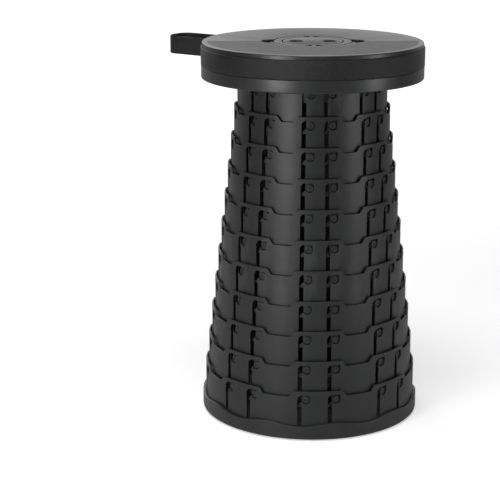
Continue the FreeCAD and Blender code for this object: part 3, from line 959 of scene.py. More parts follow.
class Palette:
    """The stool's materials, one for each kind of surface."""

    def __init__(self) -> None:
        """Build every material once."""
        effects = SharedEffects()
        self.rings = MouldedPlastic(
            colour=(0.012, 0.0125, 0.013), rubbed_and_highlit=(0.055, 0.056, 0.058), roughness=0.43,
            roughness_spread=0.05, grain=1700.0, grain_height=0.05 * MM, wear_and_highlight=0.55, dust=0.06,
        ).build("ring_charcoal", effects)
        self.seat = MouldedPlastic(
            colour=(0.016, 0.0165, 0.0175), rubbed_and_highlit=(0.06, 0.061, 0.063), roughness=0.36,
            roughness_spread=0.05, grain=2100.0, grain_height=0.04 * MM, wear_and_highlight=0.4, dust=0.10,
        ).build("seat_satin", effects)
        self.hub = MouldedPlastic(
            colour=(0.014, 0.0145, 0.0155), rubbed_and_highlit=(0.055, 0.056, 0.058), roughness=0.42,
            roughness_spread=0.05, grain=2100.0, grain_height=0.04 * MM, wear_and_highlight=0.4, dust=0.08,
        ).build("hub_satin", effects)
        self.rubber = MouldedPlastic(
            colour=(0.012, 0.012, 0.012), rubbed_and_highlit=(0.03, 0.03, 0.03), roughness=0.85,
            roughness_spread=0.06, grain=900.0, grain_height=0.08 * MM, wear_and_highlight=0.3, dust=0.25,
        ).build("foot_rubber", effects)
        self.webbing = WovenWebbing(
            yarn=(0.005, 0.005, 0.0055), groove_shade=(0.0015, 0.0015, 0.0015), picks=620.0, ends=900.0,
        ).build("strap_webbing", effects)
        self.buckle = MouldedPlastic(
            colour=(0.016, 0.016, 0.017), rubbed_and_highlit=(0.05, 0.05, 0.05), roughness=0.30,
            roughness_spread=0.04, grain=2400.0, grain_height=0.02 * MM, wear_and_highlight=0.4, dust=0.1,
        ).build("slider_nylon", effects)
        self.steel = PlainMetal(colour=(0.52, 0.52, 0.53), roughness=0.35).build("plated_steel", effects)


@dataclass(frozen=True)
class Bend:
    """Where a soft piece across a joint starts to follow the second body, and where it does so fully."""

    body: str
    start: Vector
    end: Vector


@dataclass
class Placed:
    """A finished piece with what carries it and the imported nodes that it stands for."""

    piece: bpy.types.Object
    body: str
    slot: RecordSlot
    material: bpy.types.Material
    nodes: tuple[str, ...]
    bend: Bend | None = None

    def settle(self) -> None:
        """Give the piece its material, body, record slot and the nodes that it stands for."""
        self.piece.data.materials.clear()
        self.piece.data.materials.append(self.material)
        if self.bend:
            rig.blend(self.piece, self.body, self.bend.body, self.bend.start, self.bend.end)
        else:
            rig.ride(self.piece, self.body)
        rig.slot(self.piece, self.slot.value)
        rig.replaces(self.piece, *self.nodes)
        LOG.info("%s rides on %s, %d faces", self.piece.name, self.body, len(self.piece.data.polygons))


@dataclass
class HookedSlot:
    """The slot that a stud hangs in, drawn from the middle of its panel and the ring's lower edge."""

    left: float = -6.6 * MM
    leg_right: float = -1.5 * MM
    pocket_side: float = 3.7 * MM
    pocket_radius: float = 4.8 * MM
    pocket_height: float = 44.4 * MM
    pocket_turn: float = 150.0
    pocket_steps: int = 18
    bend_steps: int = 10
    shoulder_steps: int = 8
    floor_left: float = 1.8 * MM
    floor_right: float = 6.2 * MM
    top_margin: float = 4.2 * MM
    corner: float = 5.8 * MM
    small_corner: float = 0.9 * MM

    def outline(self, side: float, height: float) -> tuple[list[Point], list[Rim]]:
        """The slot's outline and the kind of each of its edges.

        Args:
            side: Where the panel's middle lies along the sheet.
            height: The ring's height.

        Returns:
            The points, clockwise from the leg's foot, and the rim kinds.
        """
        top = height - self.top_margin
        right = self.pocket_side + self.pocket_radius
        bend = [(self.left, self.floor_left, 0), (self.left, top, self.corner), (right, top, 0)]
        ramp = rounded_path(bend, self.bend_steps)[:-1]
        shoulder = [
            (self.pocket_side, top, 0), (right, top, self.small_corner), (right, self.pocket_height, 0),
        ]
        pocket = rounded_path(shoulder, self.shoulder_steps)[:-1]
        middle = (self.pocket_side, self.pocket_height)
        pocket += arc_points(middle, self.pocket_radius, 0, -self.pocket_turn, self.pocket_steps)
        pocket += [(self.leg_right, pocket[-1][1]), (self.leg_right, self.floor_right)]
        rims = [Rim.SLOT_RAMP] * len(ramp) + [Rim.SLOT] * len(pocket)
        return [(side + x, y) for x, y in ramp + pocket], rims


@dataclass
class Ring:
    """One telescopic ring with its castle edge, hooked slots and studs."""

    number: int
    radius: float
    bottom: float
    height: float
    step: float
    merlons: int
    merlon_turn: float
    wall: float = 1.6 * MM
    slot_turn: float = 8.0
    merlon_margin: float = 11.1 * MM
    notch_slope: float = 4.8 * MM
    notch_depth: float = 6.7 * MM
    notch_high_round: float = 2.4 * MM
    notch_low_round: float = 3.0 * MM
    castle_edge: float = 1.0 * MM
    ramp_edge: float = 1.4 * MM
    plain_edge: float = 0.3 * MM
    stud_radius: float = 4.2 * MM
    stud_height: float = 9.4 * MM
    stud_clearance: float = 0.2 * MM
    stud_dimple: float = 1.89 * MM
    stud_edge: float = 0.35 * MM
    stud_facets: int = 20
    slices: int = 18
    hook: HookedSlot = field(default_factory=HookedSlot)

    def build(self, nested: bool, slotted: bool) -> bpy.types.Object:
        """Build the ring.

        Args:
            nested: Whether it hangs in a wider ring, and so has studs.
            slotted: Whether it has the castle edge and slots.

        Returns:
            The ring's object.
        """
        plate = Plate()
        half = self.radius * math.pi / self.merlons
        self._castle(plate, half, slotted)
        if slotted:
            for way in (-1, 1):
                side = way * self.radius * math.radians(self.slot_turn)
                plate.line(*self.hook.outline(side, self.height))
        plate.fill()
        plate.slice(even_cuts(half, self.slices), SIDEWAYS)
        plate.move(wrapped(self.radius))
        plate.repeat(self.merlons)
        plate.thicken(drawn_in(self.wall))
        outside = on_skin(self.radius)
        plate.soften([Rim.CASTLE], self.castle_edge, 2, outside)
        plate.soften([Rim.SLOT_RAMP], self.ramp_edge, 3, outside)
        plate.soften([Rim.SLOT, Rim.FOOT], self.plain_edge, 2, outside)
        if nested:
            pour(self._studs(), plate.mesh)
        place = turned(self.merlon_turn, self.bottom)
        bmesh.ops.transform(plate.mesh, matrix=place, verts=plate.mesh.verts[:])
        return plate.finish(f"slotted_ring_{self.number:02d}", round_wall=True)

    def _castle(self, plate: Plate, half: float, slotted: bool) -> None:
        """Draw one merlon with half a notch on each side, or a plain stretch.

        Args:
            plate: The sheet to draw on.
            half: Half the merlon's pitch along the ring.
            slotted: Whether the edge has notches.
        """
        if not slotted:
            plate.line(
                [(-half, 0), (half, 0), (half, self.height), (-half, self.height)],
                [Rim.FOOT, Rim.NONE, Rim.CASTLE, Rim.NONE],
            )
            return
        top = self.radius * math.radians(self.slot_turn) + self.merlon_margin
        foot = min(top + self.notch_slope, half - self.notch_low_round)
        floor = self.height - self.notch_depth
        right = rounded_path([
            (half, floor, 0), (foot, floor, self.notch_low_round), (top, self.height, self.notch_high_round),
            (0, self.height, 0),
        ])[:-1]
        left = [(-x, y) for x, y in reversed(right)]
        edges = len(right) + len(left) - 1
        plate.line(
            [(-half, 0), (half, 0)] + right + left, [Rim.FOOT, Rim.NONE] + [Rim.CASTLE] * edges + [Rim.NONE],
        )

    def _studs(self) -> BMesh:
        """The studs that sit in the wider ring's pockets.

        Returns:
            All of them in one bmesh.
        """
        tip = self.radius + self.step - self.wall - self.stud_clearance
        depth = tip - self.radius + self.wall / 2
        lean = math.degrees(self.hook.pocket_side / self.radius)
        studs = bmesh.new()
        for merlon in range(self.merlons):
            for way in (-1, 1):
                stud = dimpled_boss(
                    self.stud_radius, depth, self.stud_dimple, self.stud_facets, self.stud_edge,
                )
                turn = merlon * 360 / self.merlons + way * self.slot_turn + lean
                place = standing_out(turn, tip, self.stud_height)
                bmesh.ops.transform(stud, matrix=place, verts=stud.verts[:])
                pour(stud, studs)
        return studs


@dataclass
class RingStack:
    """The twelve rings, from the narrowest under the seat to the widest in the base."""

    count: int = 12
    step: float = 3.9 * MM
    merlons: int = 8
    merlon_turn: float = 2.75

    def build(self, palette: Palette) -> None:
        """Build and settle every ring.

        Args:
            palette: The stool's materials.
        """
        low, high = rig.box(f"ring_{self.count:02d}")
        radius = high.x
        height = high.z - low.z
        for number in range(1, self.count + 1):
            node = f"ring_{number:02d}"
            low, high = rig.box(node)
            ring = Ring(
                number=number, radius=radius - (self.count - number) * self.step, bottom=low.z,
                height=height if number > 1 else high.z - low.z, step=self.step, merlons=self.merlons,
                merlon_turn=self.merlon_turn,
            )
            piece = ring.build(nested=number < self.count, slotted=number > 1)
            Placed(piece, self._body(number), RecordSlot.RINGS, palette.rings, (node,)).settle()

    def _body(self, number: int) -> str:
        """The body that a ring belongs to."""
        ends = {1: "seat", self.count: "base"}
        return ends.get(number, f"tier_{number:02d}")


@dataclass
class BaseCup:
    """The low cup that the widest ring stands in, with its wavy edge, floor and ribs."""

    waves: int = 10
    wave_steps: int = 16
    facets: int = 160
    crest_turn: float = 11.5
    wave_depth: float = 4.4 * MM
    wall: float = 3.3 * MM
    floor: float = 3.0 * MM
    foot_chamfer: float = 1.6 * MM
    lip_edge: float = 0.6 * MM
    rib_width: float = 1.8 * MM
    rib_height: float = 6.0 * MM
    rib_count: int = 8
    rib_inner: float = 20.0 * MM
    rib_outer: float = 77.0 * MM

    def build(self, palette: Palette) -> None:
        """Build and settle the cup.

        Args:
            palette: The stool's materials.
        """
        low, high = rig.box("base_cup")
        radius = high.x
        half = radius * math.pi / self.waves
        edge = []
        for index in range(self.wave_steps + 1):
            share = 1 - 2 * index / self.wave_steps
            rise = math.cos(math.pi * share) * self.wave_depth / 2 - self.wave_depth / 2
            edge.append((half * share, high.z + rise))
        plate = Plate()
        plate.line(
            [(-half, low.z), (half, low.z)] + edge,
            [Rim.FOOT, Rim.NONE] + [Rim.CASTLE] * self.wave_steps + [Rim.NONE],
        )
        plate.fill()
        plate.slice(even_cuts(half, self.wave_steps), SIDEWAYS)
        plate.move(wrapped(radius))
        plate.repeat(self.waves)
        plate.thicken(drawn_in(self.wall))
        plate.soften([Rim.FOOT], self.foot_chamfer, 3, on_skin(radius))
        plate.soften([Rim.CASTLE], self.lip_edge, 2, on_skin(radius))
        bmesh.ops.transform(plate.mesh, matrix=turned(self.crest_turn), verts=plate.mesh.verts[:])
        self._floor(plate.mesh, radius - self.wall, low.z)
        cup = plate.finish("wavy_base_cup", round_wall=True)
        Placed(cup, "base", RecordSlot.RINGS, palette.rings, ("base_cup",)).settle()

    def _floor(self, draft: BMesh, radius: float, low: float) -> None:
        """Add the cup's floor and the ribs on it.

        Args:
            draft: The mesh to add to.
            radius: The floor's radius.
            low: The floor's underside.
        """
        made = bmesh.ops.create_cone(
            draft, cap_ends=True, cap_tris=False, segments=self.facets, radius1=radius, radius2=radius,
            depth=self.floor,
        )["verts"]
        bmesh.ops.translate(draft, verts=made, vec=(0, 0, low + self.floor / 2))
        length = self.rib_outer - self.rib_inner
        for index in range(self.rib_count):
            rib = bmesh.ops.create_cube(draft, size=1.0)["verts"]
            bmesh.ops.scale(draft, verts=rib, vec=(self.rib_width, length, self.rib_height))
            place = (0, -(self.rib_inner + self.rib_outer) / 2, low + self.floor + self.rib_height / 2)
            bmesh.ops.translate(draft, verts=rib, vec=place)
            turn = Matrix.Rotation(2 * math.pi * index / self.rib_count, 3, "Z")
            bmesh.ops.rotate(draft, verts=rib, cent=(0, 0, 0), matrix=turn)


@dataclass
class RibField:
    """Fine ribs along X over a plate's front half, kept inside one circle and outside another."""

    pitch: float = 2.6 * MM
    groove: float = 1.1 * MM
    depth: float = 0.45 * MM
    slope: float = 0.2 * MM

    def cut(self, plate: Plate, edge: float, blank: float, start: float) -> None:
        """Sink the grooves between the ribs into a plate's flat face.

        Args:
            plate: The filled plate, which still lies flat.
            edge: The radius that the ribs end at.
            blank: The radius that the ribs keep out of.
            start: How far in front of the dividing line the first groove lies.
        """
        middles = []
        place = start
        while place < edge - self.groove:
            middles.append(-place)
            place += self.pitch
        half = self.groove / 2
        plate.slice([middle + side * half for middle in middles for side in (-1, 1)], BACKWARDS)
        for middle in middles:
            reach = math.sqrt(edge ** 2 - middle ** 2)
            spans = [(-reach, reach)]
            if abs(middle) < blank:
                inner = math.sqrt(blank ** 2 - middle ** 2)
                spans = [(-reach, -inner), (inner, reach)]
            plate.sink(middle - half, middle + half, spans, self.slope, self.depth)


@dataclass
class Hub:
    """The lock-like hub in the seat's middle: a ribbed disc with two holes in a ring with hooked slots."""

    disc_radius: float = 35.0 * MM
    disc_edge: float = 2.5 * MM
    disc_divide: float = 2.2 * MM
    ring_radius: float = 45.6 * MM
    ring_inner: float = 36.8 * MM
    well_radius: float = 48.0 * MM
    hole_radius: float = 8.4 * MM
    hole_offset: float = 19.6 * MM
    finger_radius: float = 14.0 * MM
    finger_offset: float = 47.0 * MM
    slot_in: float = 2.6 * MM
    slot_out: float = 9.4 * MM
    slot_width: float = 3.2 * MM
    slot_leg: float = 6.6 * MM
    slot_radius: float = 44.0 * MM
    edge: float = 0.4 * MM
    facets: int = 120
    hole_facets: int = 40
    finger_steps: int = 20
    well_steps: int = 60

    def opening(self) -> list[Point]:
        """The outline of the hub's well joined with both finger recesses.

        Returns:
            The points, counter-clockwise from the right recess.
        """
        offset = self.finger_offset
        along = (self.well_radius ** 2 - self.finger_radius ** 2 + offset ** 2) / (2 * offset)
        crossing = math.acos(along / self.well_radius)
        start = math.degrees(math.atan2(self.well_radius * math.sin(crossing), along - offset))
        right = arc_points((offset, 0.0), self.finger_radius, -start, start, self.finger_steps)
        crossing = math.degrees(crossing)
        top = arc_points((0, 0), self.well_radius, crossing, 180 - crossing, self.well_steps)[1:-1]
        return right + top + [(-x, -y) for x, y in right + top]

    def build(self, palette: Palette) -> None:
        """Build and settle the disc and the ring.

        Args:
            palette: The stool's materials.
        """
        disc = Plate()
        disc.line(circle(self.disc_radius, self.facets), Rim.HOLE)
        for side in (-1, 1):
            middle = (side * self.hole_offset, 0)
            disc.line(circle(self.hole_radius, self.hole_facets, middle), Rim.HOLE)
        disc.fill()
        RibField().cut(disc, self.disc_radius - self.disc_edge, 0.0, self.disc_divide)
        ring = Plate()
        for radius in (self.ring_radius, self.ring_inner):
            ring.line(circle(radius, self.facets), Rim.HOLE)
        for side in (-1, 1):
            for way in (-1, 1):
                ring.line([(way * x, side * y) for x, y in self._hook()], Rim.HOLE)
        ring.fill()
        low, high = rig.box("hub_disc")
        parts = ((disc, "hub_disc_ribbed", "hub_disc"), (ring, "hub_ring_hooked", "hub_arcs"))
        for plate, name, node in parts:
            plate.stand(high.z, low.z)
            plate.soften([Rim.HOLE], self.edge, 2, at_height(high.z))
            Placed(plate.finish(name), "seat", RecordSlot.SEAT, palette.hub, (node,)).settle()

    def _hook(self) -> list[Point]:
        """The hooked slot at the back of the ring, on the right."""
        top = self.slot_radius
        bar = top - self.slot_width
        foot = top - self.slot_leg
        inner = self.slot_in + self.slot_width
        return [
            (self.slot_in, top), (self.slot_in, foot), (inner, foot), (inner, bar), (self.slot_out, bar),
            (self.slot_out, top),
        ]


@dataclass
class SeatCover:
    """The seat's top skin: smooth behind the dividing line, finely ribbed in front, folded over the rim."""

    thickness: float = 2.0 * MM
    rib_edge: float = 5.0 * MM
    rib_start: float = 3.0 * MM
    divide: float = 1.2 * MM
    divide_slope: float = 0.2 * MM
    divide_depth: float = 0.5 * MM
    divide_gap: float = 1.0 * MM
    opening_edge: float = 0.5 * MM
    lip_wall: float = 2.0 * MM
    lip_chamfer: float = 0.3 * MM
    lip_lap: float = 0.5 * MM
    inset: float = 1.2 * MM
    shoulder: float = 1.2 * MM
    shoulder_steps: int = 8
    facets: int = 180

    def build(self, hub: Hub, palette: Palette) -> None:
        """Build and settle the cover.

        Args:
            hub: The hub, whose opening the cover has.
            palette: The stool's materials.
        """
        low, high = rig.box("seat_cover")
        radius = high.x - self.inset
        flat = radius - self.shoulder
        ribs = flat - self.rib_edge
        top = Plate()
        top.line(circle(flat, self.facets), Rim.NONE)
        top.line(hub.opening(), Rim.HOLE)
        top.fill()
        RibField().cut(top, ribs, hub.ring_radius + self.rib_edge, self.rib_start)
        half = self.divide / 2
        start = hub.finger_offset + hub.finger_radius + self.divide_gap
        top.slice([-half, half], BACKWARDS)
        top.sink(-half, half, [(-ribs, -start), (start, ribs)], self.divide_slope, self.divide_depth)
        under = high.z - self.thickness
        top.stand(high.z, under)
        top.soften([Rim.HOLE], self.opening_edge, 2, at_height(high.z))
        inner = high.x - self.lip_wall
        centre = (flat, high.z - self.shoulder)
        lip = arc_points(centre, self.shoulder, 90, 0, self.shoulder_steps)
        lip += [
            (radius, low.z + self.lip_chamfer), (radius - self.lip_chamfer, low.z), (inner, low.z),
            (inner, under - self.lip_lap), (flat, under),
        ]
        pour(revolve(lip), top.mesh)
        cover = top.finish("seat_cover_ribbed")
        Placed(cover, "seat", RecordSlot.SEAT, palette.seat, ("seat_cover",)).settle()


@dataclass
class SeatFrame:
    """The load-bearing moulding under the cover: plate, skirt, hub well, finger cups, ribs and bosses."""

    strap_groove: float = 1.4 * MM
    strap_room: float = 0.1 * MM
    skirt_wall: float = 2.9 * MM
    skirt_round: float = 1.2 * MM
    chamfer: float = 0.4 * MM
    plate: float = 1.7 * MM
    cover_overlap: float = 2.2 * MM
    heart_margin: float = 4.0 * MM
    heart_overlap: float = 0.2 * MM
    well_wall: float = 1.6 * MM
    finger_depth: float = 10.0 * MM
    rib_width: float = 1.8 * MM
    rib_height: float = 7.0 * MM
    boss_radius: float = 4.2 * MM
    boss_height: float = 8.0 * MM
    boss_taper: float = 0.92
    boss_circle: float = 77.0 * MM
    boss_count: int = 8
    boss_facets: int = 28
    skirt_steps: int = 6
    heart_facets: int = 120
    well_facets: int = 96
    cup_facets: int = 48

    def build(self, hub: Hub, palette: Palette) -> None:
        """Build and settle the frame.

        Args:
            hub: The hub that it holds.
            palette: The stool's materials.
        """
        low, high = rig.box("seat_frame")
        under = high.z - self.plate
        heart = hub.finger_offset + hub.finger_radius + self.heart_margin
        draft = revolve(self._outline(heart, low, high))
        middle = Plate()
        middle.line(circle(heart + self.heart_overlap, self.heart_facets), Rim.NONE)
        middle.line(hub.opening(), Rim.NONE)
        middle.fill()
        middle.stand(high.z, under)
        pour(middle.mesh, draft)
        self._pot(draft, 0.0, hub.well_radius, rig.box("hub_disc")[0].z, high.z, self.well_facets)
        cup = high.z - self.finger_depth
        for side in (-1, 1):
            place = side * hub.finger_offset
            self._pot(draft, place, hub.finger_radius, cup, high.z, self.cup_facets)
        self._underside(draft, hub.well_radius, under)
        frame = object_from(draft, "seat_frame_skirt")
        Placed(frame, "seat", RecordSlot.SEAT, palette.seat, ("seat_frame",)).settle()

    def _outline(self, heart: float, low: Vector, high: Vector) -> list[Point]:
        """The section of the plate and the skirt, outside the plate's middle part.

        Args:
            heart: The middle part's radius.
            low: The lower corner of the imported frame's box.
            high: Its upper corner.

        Returns:
            The points, as radius and height.
        """
        band_low, band_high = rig.box("strap_band")
        under = high.z - self.plate
        radius = high.x
        inner = radius - self.skirt_wall
        floor = radius - self.strap_groove
        groove_low = band_low.z - self.strap_room
        groove_high = band_high.z + self.strap_room
        rim = radius - self.cover_overlap
        skirt = [
            (heart, under), (inner, under), (inner, low.z + self.chamfer), (inner + self.chamfer, low.z),
        ]
        foot = (radius - self.skirt_round, low.z + self.skirt_round)
        skirt += arc_points(foot, self.skirt_round, -90, 0, self.skirt_steps)
        return skirt + [
            (radius, groove_low - self.chamfer), (radius - self.chamfer, groove_low), (floor, groove_low),
            (floor, groove_high), (rim, groove_high), (rim, high.z), (heart, high.z),
        ]

    def _pot(self, draft: BMesh, side: float, radius: float, floor: float, rim: float, steps: int) -> None:
        """Add a round well: a wall, and a floor whose upper side is at a height.

        Args:
            draft: The mesh to add to.
            side: Where the well's middle lies along X.
            radius: Its inner radius.
            floor: The height of its floor.
            rim: The height of its rim.
            steps: Facets round it.
        """
        outer = radius + self.well_wall
        low = floor - self.well_wall
        profile = [(0.0, floor), (radius, floor), (radius, rim), (outer, rim), (outer, low), (0.0, low)]
        pot = revolve(profile, steps)
        bmesh.ops.translate(pot, verts=pot.verts[:], vec=(side, 0.0, 0.0))
        pour(pot, draft)

    def _underside(self, draft: BMesh, well: float, under: float) -> None:
        """Add the ribs and the screw bosses under the plate.

        Args:
            draft: The mesh to add to.
            well: The hub well's radius.
            under: The height of the plate's underside.
        """
        reach = self.boss_circle - self.boss_radius * 2
        for index in range(self.boss_count):
            turn = Matrix.Rotation(2 * math.pi * (index + 0.5) / self.boss_count, 3, "Z")
            rib = bmesh.ops.create_cube(draft, size=1.0)["verts"]
            bmesh.ops.scale(draft, verts=rib, vec=(self.rib_width, reach - well, self.rib_height))
            bmesh.ops.translate(draft, verts=rib, vec=(0, -(reach + well) / 2, under - self.rib_height / 2))
            boss = bmesh.ops.create_cone(
                draft, cap_ends=True, cap_tris=False, segments=self.boss_facets,
                radius1=self.boss_radius * self.boss_taper, radius2=self.boss_radius, depth=self.boss_height,
            )["verts"]
            bmesh.ops.translate(draft, verts=boss, vec=(0, -self.boss_circle, under - self.boss_height / 2))
            bmesh.ops.rotate(draft, verts=rib + boss, cent=(0, 0, 0), matrix=turn)


@dataclass
class Station:
    """One place along a strap: where its middle is, which way its face looks, and how far along it lies."""

    middle: Vector
    across: Vector
    along: float

    def place(self, point: Point) -> Vector:
        """Where a section's point lies at the station."""
        return self.middle + self.across * point[0] + UP * point[1]


@dataclass
class Webbing:
    """A strip of webbing that stands on edge, with rounded selvedges."""

    width: float
    thickness: float
    edge_steps: int = 4
    seam: float = 0.01 * MM

    def section(self) -> list[Point]:
        """The section's outline, as thickness and height, with round ends.

        Returns:
            The points, counter-clockwise.
        """
        half = self.thickness / 2
        tall = self.width / 2 - half
        top = arc_points((0, tall), half, 0, 180, self.edge_steps)
        bottom = arc_points((0, -tall), half, 180, 360, self.edge_steps)
        near = [(half, tall * share) for share in (-0.5, 0.0, 0.5)]
        far = [(-half, tall * share) for share in (0.5, 0.0, -0.5)]
        return top + far + bottom + near

    def sweep(self, stations: Sequence[Station], closed: bool) -> BMesh:
        """Carry the section along the strap and lay its UV map, in metres.

        Args:
            stations: The places along the strap.
            closed: Whether the last one meets the first.

        Returns:
            The strip as a bmesh.
        """
        draft = bmesh.new()
        draft.loops.layers.uv.new("strap")
        section = self.section()
        row = [draft.verts.new(stations[0].place(point)) for point in section]
        edges = [draft.edges.new(pair) for pair in zip(row, row[1:] + row[:1])]
        rows = [row]
        for station in stations[1:]:
            made = bmesh.ops.extrude_edge_only(draft, edges=edges)["geom"]
            row = self._in_order(rows[-1], [item for item in made if isinstance(item, BMVert)])
            for vert, point in zip(row, section):
                vert.co = station.place(point)
            rows.append(row)
            edges = self._loop(row)
        places = {vert: (index, spot) for index, row in enumerate(rows) for spot, vert in enumerate(row)}
        if not closed:
            for row in (rows[0], rows[-1]):
                bmesh.ops.contextual_create(draft, geom=self._loop(row))
        self._lay_uv(draft, places, stations, section)
        if closed:
            bmesh.ops.remove_doubles(draft, verts=draft.verts[:], dist=self.seam)
        bmesh.ops.recalc_face_normals(draft, faces=draft.faces[:])
        return draft

    @staticmethod
    def _loop(row: Sequence[BMVert]) -> list[BMEdge]:
        """The edges between a row's neighbouring points."""
        pairs = zip(row, [*row[1:], row[0]])
        return [next(e for e in start.link_edges if e.other_vert(start) is end) for start, end in pairs]

    @staticmethod
    def _in_order(before: Sequence[BMVert], verts: Sequence[BMVert]) -> list[BMVert]:
        """New points in the order of the points that they were extruded from."""
        fresh = set(verts)
        return [next(e.other_vert(v) for e in v.link_edges if e.other_vert(v) in fresh) for v in before]

    @staticmethod
    def _lay_uv(
        draft: BMesh, places: dict[BMVert, tuple[int, int]], stations: Sequence[Station],
        section: Sequence[Point],
    ) -> None:
        """Lay the UV map: along the strap, and round its section.

        Args:
            draft: The strip.
            places: Each point's station and place in the section.
            stations: The places along the strap.
            section: The section's outline.
        """
        layer = draft.loops.layers.uv["strap"]
        rounds = [0.0]
        for start, end in zip(section, [*section[1:], section[0]]):
            rounds.append(rounds[-1] + math.dist(start, end))
        count = len(section)
        for face in draft.faces:
            spots = [places[loop.vert] for loop in face.loops]
            wraps = {0, count - 1} <= {spot for _, spot in spots} and len(spots) == 4
            for loop, (row, spot) in zip(face.loops, spots):
                around = rounds[count] if wraps and spot == 0 else rounds[spot]
                loop[layer].uv = (stations[row].along, around)


@dataclass
class Strap:
    """The strap round the rim with its carry loop, rivets and slider."""

    thickness: float = 1.5 * MM
    proud: float = 0.3 * MM
    selvedge_room: float = 0.2 * MM
    sharp: float = 50.0
    band_steps: int = 240
    loop_turn: float = 235.9
    loop_root: float = 1.0 * MM
    loop_step: float = 3.0 * MM
    spacing: float = 38.0 * MM
    reach: float = 70.0 * MM
    bend: float = 14.0 * MM
    bend_steps: int = 10
    pivot: float = 13.6 * MM
    rivet_turns: tuple[float, ...] = (211.5, 202.5)
    rivet_radius: float = 4.0 * MM
    rivet_height: float = 1.0 * MM
    rivet_proud: float = 0.2 * MM
    rivet_facets: int = 40
    rivet_dome: tuple[Point, ...] = ((1.0, 0.0), (1.0, 0.35), (0.8, 0.8), (0.45, 1.0))
    slider_turn: float = 186.0
    slider_length: float = 24.0 * MM
    slider_border: float = 4.0 * MM
    slider_bar: float = 4.0 * MM
    slider_thickness: float = 2.4 * MM
    slider_gap: float = 0.35 * MM
    slider_corner: float = 3.5 * MM
    slider_steps: int = 6
    slider_slices: int = 16
    window_corner: float = 1.2 * MM
    window_steps: int = 4
    slider_edge: float = 0.7 * MM
    width: float = field(init=False)
    middle: float = field(init=False)
    radius: float = field(init=False)

    def __post_init__(self) -> None:
        """Read the groove's width, height and radius from the frame."""
        low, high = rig.box("strap_band")
        self.width = high.z - low.z
        self.middle = (high.z + low.z) / 2
        self.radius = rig.box("seat_frame")[1].x

    def build(self, palette: Palette) -> None:
        """Build and settle the band, the loop, the rivets and the slider.

        Args:
            palette: The stool's materials.
        """
        webbing = Webbing(self.width - self.selvedge_room, self.thickness)
        out = direction(self.loop_turn)
        hinge = [out * reach + UP * self.middle for reach in (self.radius, self.radius + self.pivot)]
        bend = Bend("carry_loop", *hinge)
        band = object_from(webbing.sweep(self._band_stations(), closed=True), "strap_band_woven", self.sharp)
        loop = object_from(webbing.sweep(self._loop_stations(), closed=False), "carry_loop_woven", self.sharp)
        Placed(band, "seat", RecordSlot.WEBBING, palette.webbing, ("strap_band",)).settle()
        Placed(loop, "seat", RecordSlot.WEBBING, palette.webbing, ("carry_loop",), bend).settle()
        rivets = object_from(self._rivets(), "strap_rivets_domed")
        Placed(rivets, "seat", RecordSlot.STEEL, palette.steel, ("strap_rivets",)).settle()
        slider = self._slider().finish("strap_slider_moulded")
        Placed(slider, "seat", RecordSlot.SEAT, palette.buckle, ("strap_slider",)).settle()

    def _band_stations(self) -> list[Station]:
        """The places along the band, all round the rim.

        Returns:
            The stations, the first one repeated at the end.
        """
        line = self.radius + self.proud - self.thickness / 2
        stations = []
        for index in range(self.band_steps + 1):
            turn = 360 * index / self.band_steps
            out = direction(turn)
            stations.append(Station(out * line + UP * self.middle, out, line * math.radians(turn)))
        return stations

    def _loop_stations(self) -> list[Station]:
        """The places along the carry loop.

        Returns:
            The stations, from one root on the band to the other.
        """
        out = direction(self.loop_turn)
        side = UP.cross(out)
        half = self.spacing / 2
        root = math.sqrt(self.radius ** 2 - half ** 2) - self.loop_root
        end = self.radius + self.reach
        corners = [(root, -half, 0), (end, -half, self.bend), (end, half, self.bend), (root, half, 0)]
        path = rounded_path(corners, self.bend_steps)
        dense = []
        for start, stop in zip(path, path[1:]):
            parts = max(1, round(math.dist(start, stop) / self.loop_step))
            dense += [tuple(Vector(start).lerp(Vector(stop), part / parts)) for part in range(parts)]
        dense.append(path[-1])
        stations = []
        along = 0.0
        for index, point in enumerate(dense):
            before = Vector(dense[max(index - 1, 0)])
            after = Vector(dense[min(index + 1, len(dense) - 1)])
            if index:
                along += math.dist(point, dense[index - 1])
            run = (after - before).normalized()
            across = (side * run.x - out * run.y).normalized()
            stations.append(Station(out * point[0] + side * point[1] + UP * self.middle, across, along))
        return stations

    def _rivets(self) -> BMesh:
        """The domed rivets.

        Returns:
            Both of them in one bmesh.
        """
        top = self.rivet_height
        dome = [(0.0, 0.0)] + [(self.rivet_radius * out, top * up) for out, up in self.rivet_dome] + [(0.0, top)]
        draft = bmesh.new()
        for turn in self.rivet_turns:
            head = revolve(dome, self.rivet_facets)
            place = standing_out(turn, self.radius + self.rivet_proud, self.middle)
            bmesh.ops.transform(head, matrix=place, verts=head.verts[:])
            pour(head, draft)
        bmesh.ops.recalc_face_normals(draft, faces=draft.faces[:])
        return draft

    def _slider(self) -> Plate:
        """The three-bar slider, bent to the rim.

        Returns:
            The slider as a plate that only has to be finished.
        """
        plate = Plate()
        half = self.slider_length / 2
        tall = self.width / 2
        self._window(plate, -half, half, tall + self.slider_border, self.slider_corner, self.slider_steps)
        bar = self.slider_bar / 2
        edge = half - self.slider_bar
        for low, high in ((-edge, -bar), (bar, edge)):
            self._window(plate, low, high, tall, self.window_corner, self.window_steps)
        plate.fill()
        plate.slice(even_cuts(half, self.slider_slices), SIDEWAYS)
        outer = self.radius + self.slider_gap + self.slider_thickness
        plate.move(wrapped(outer))
        plate.thicken(drawn_in(self.slider_thickness))
        plate.soften([Rim.HOLE], self.slider_edge, 3, on_skin(outer))
        place = turned(self.slider_turn, self.middle)
        bmesh.ops.transform(plate.mesh, matrix=place, verts=plate.mesh.verts[:])
        return plate

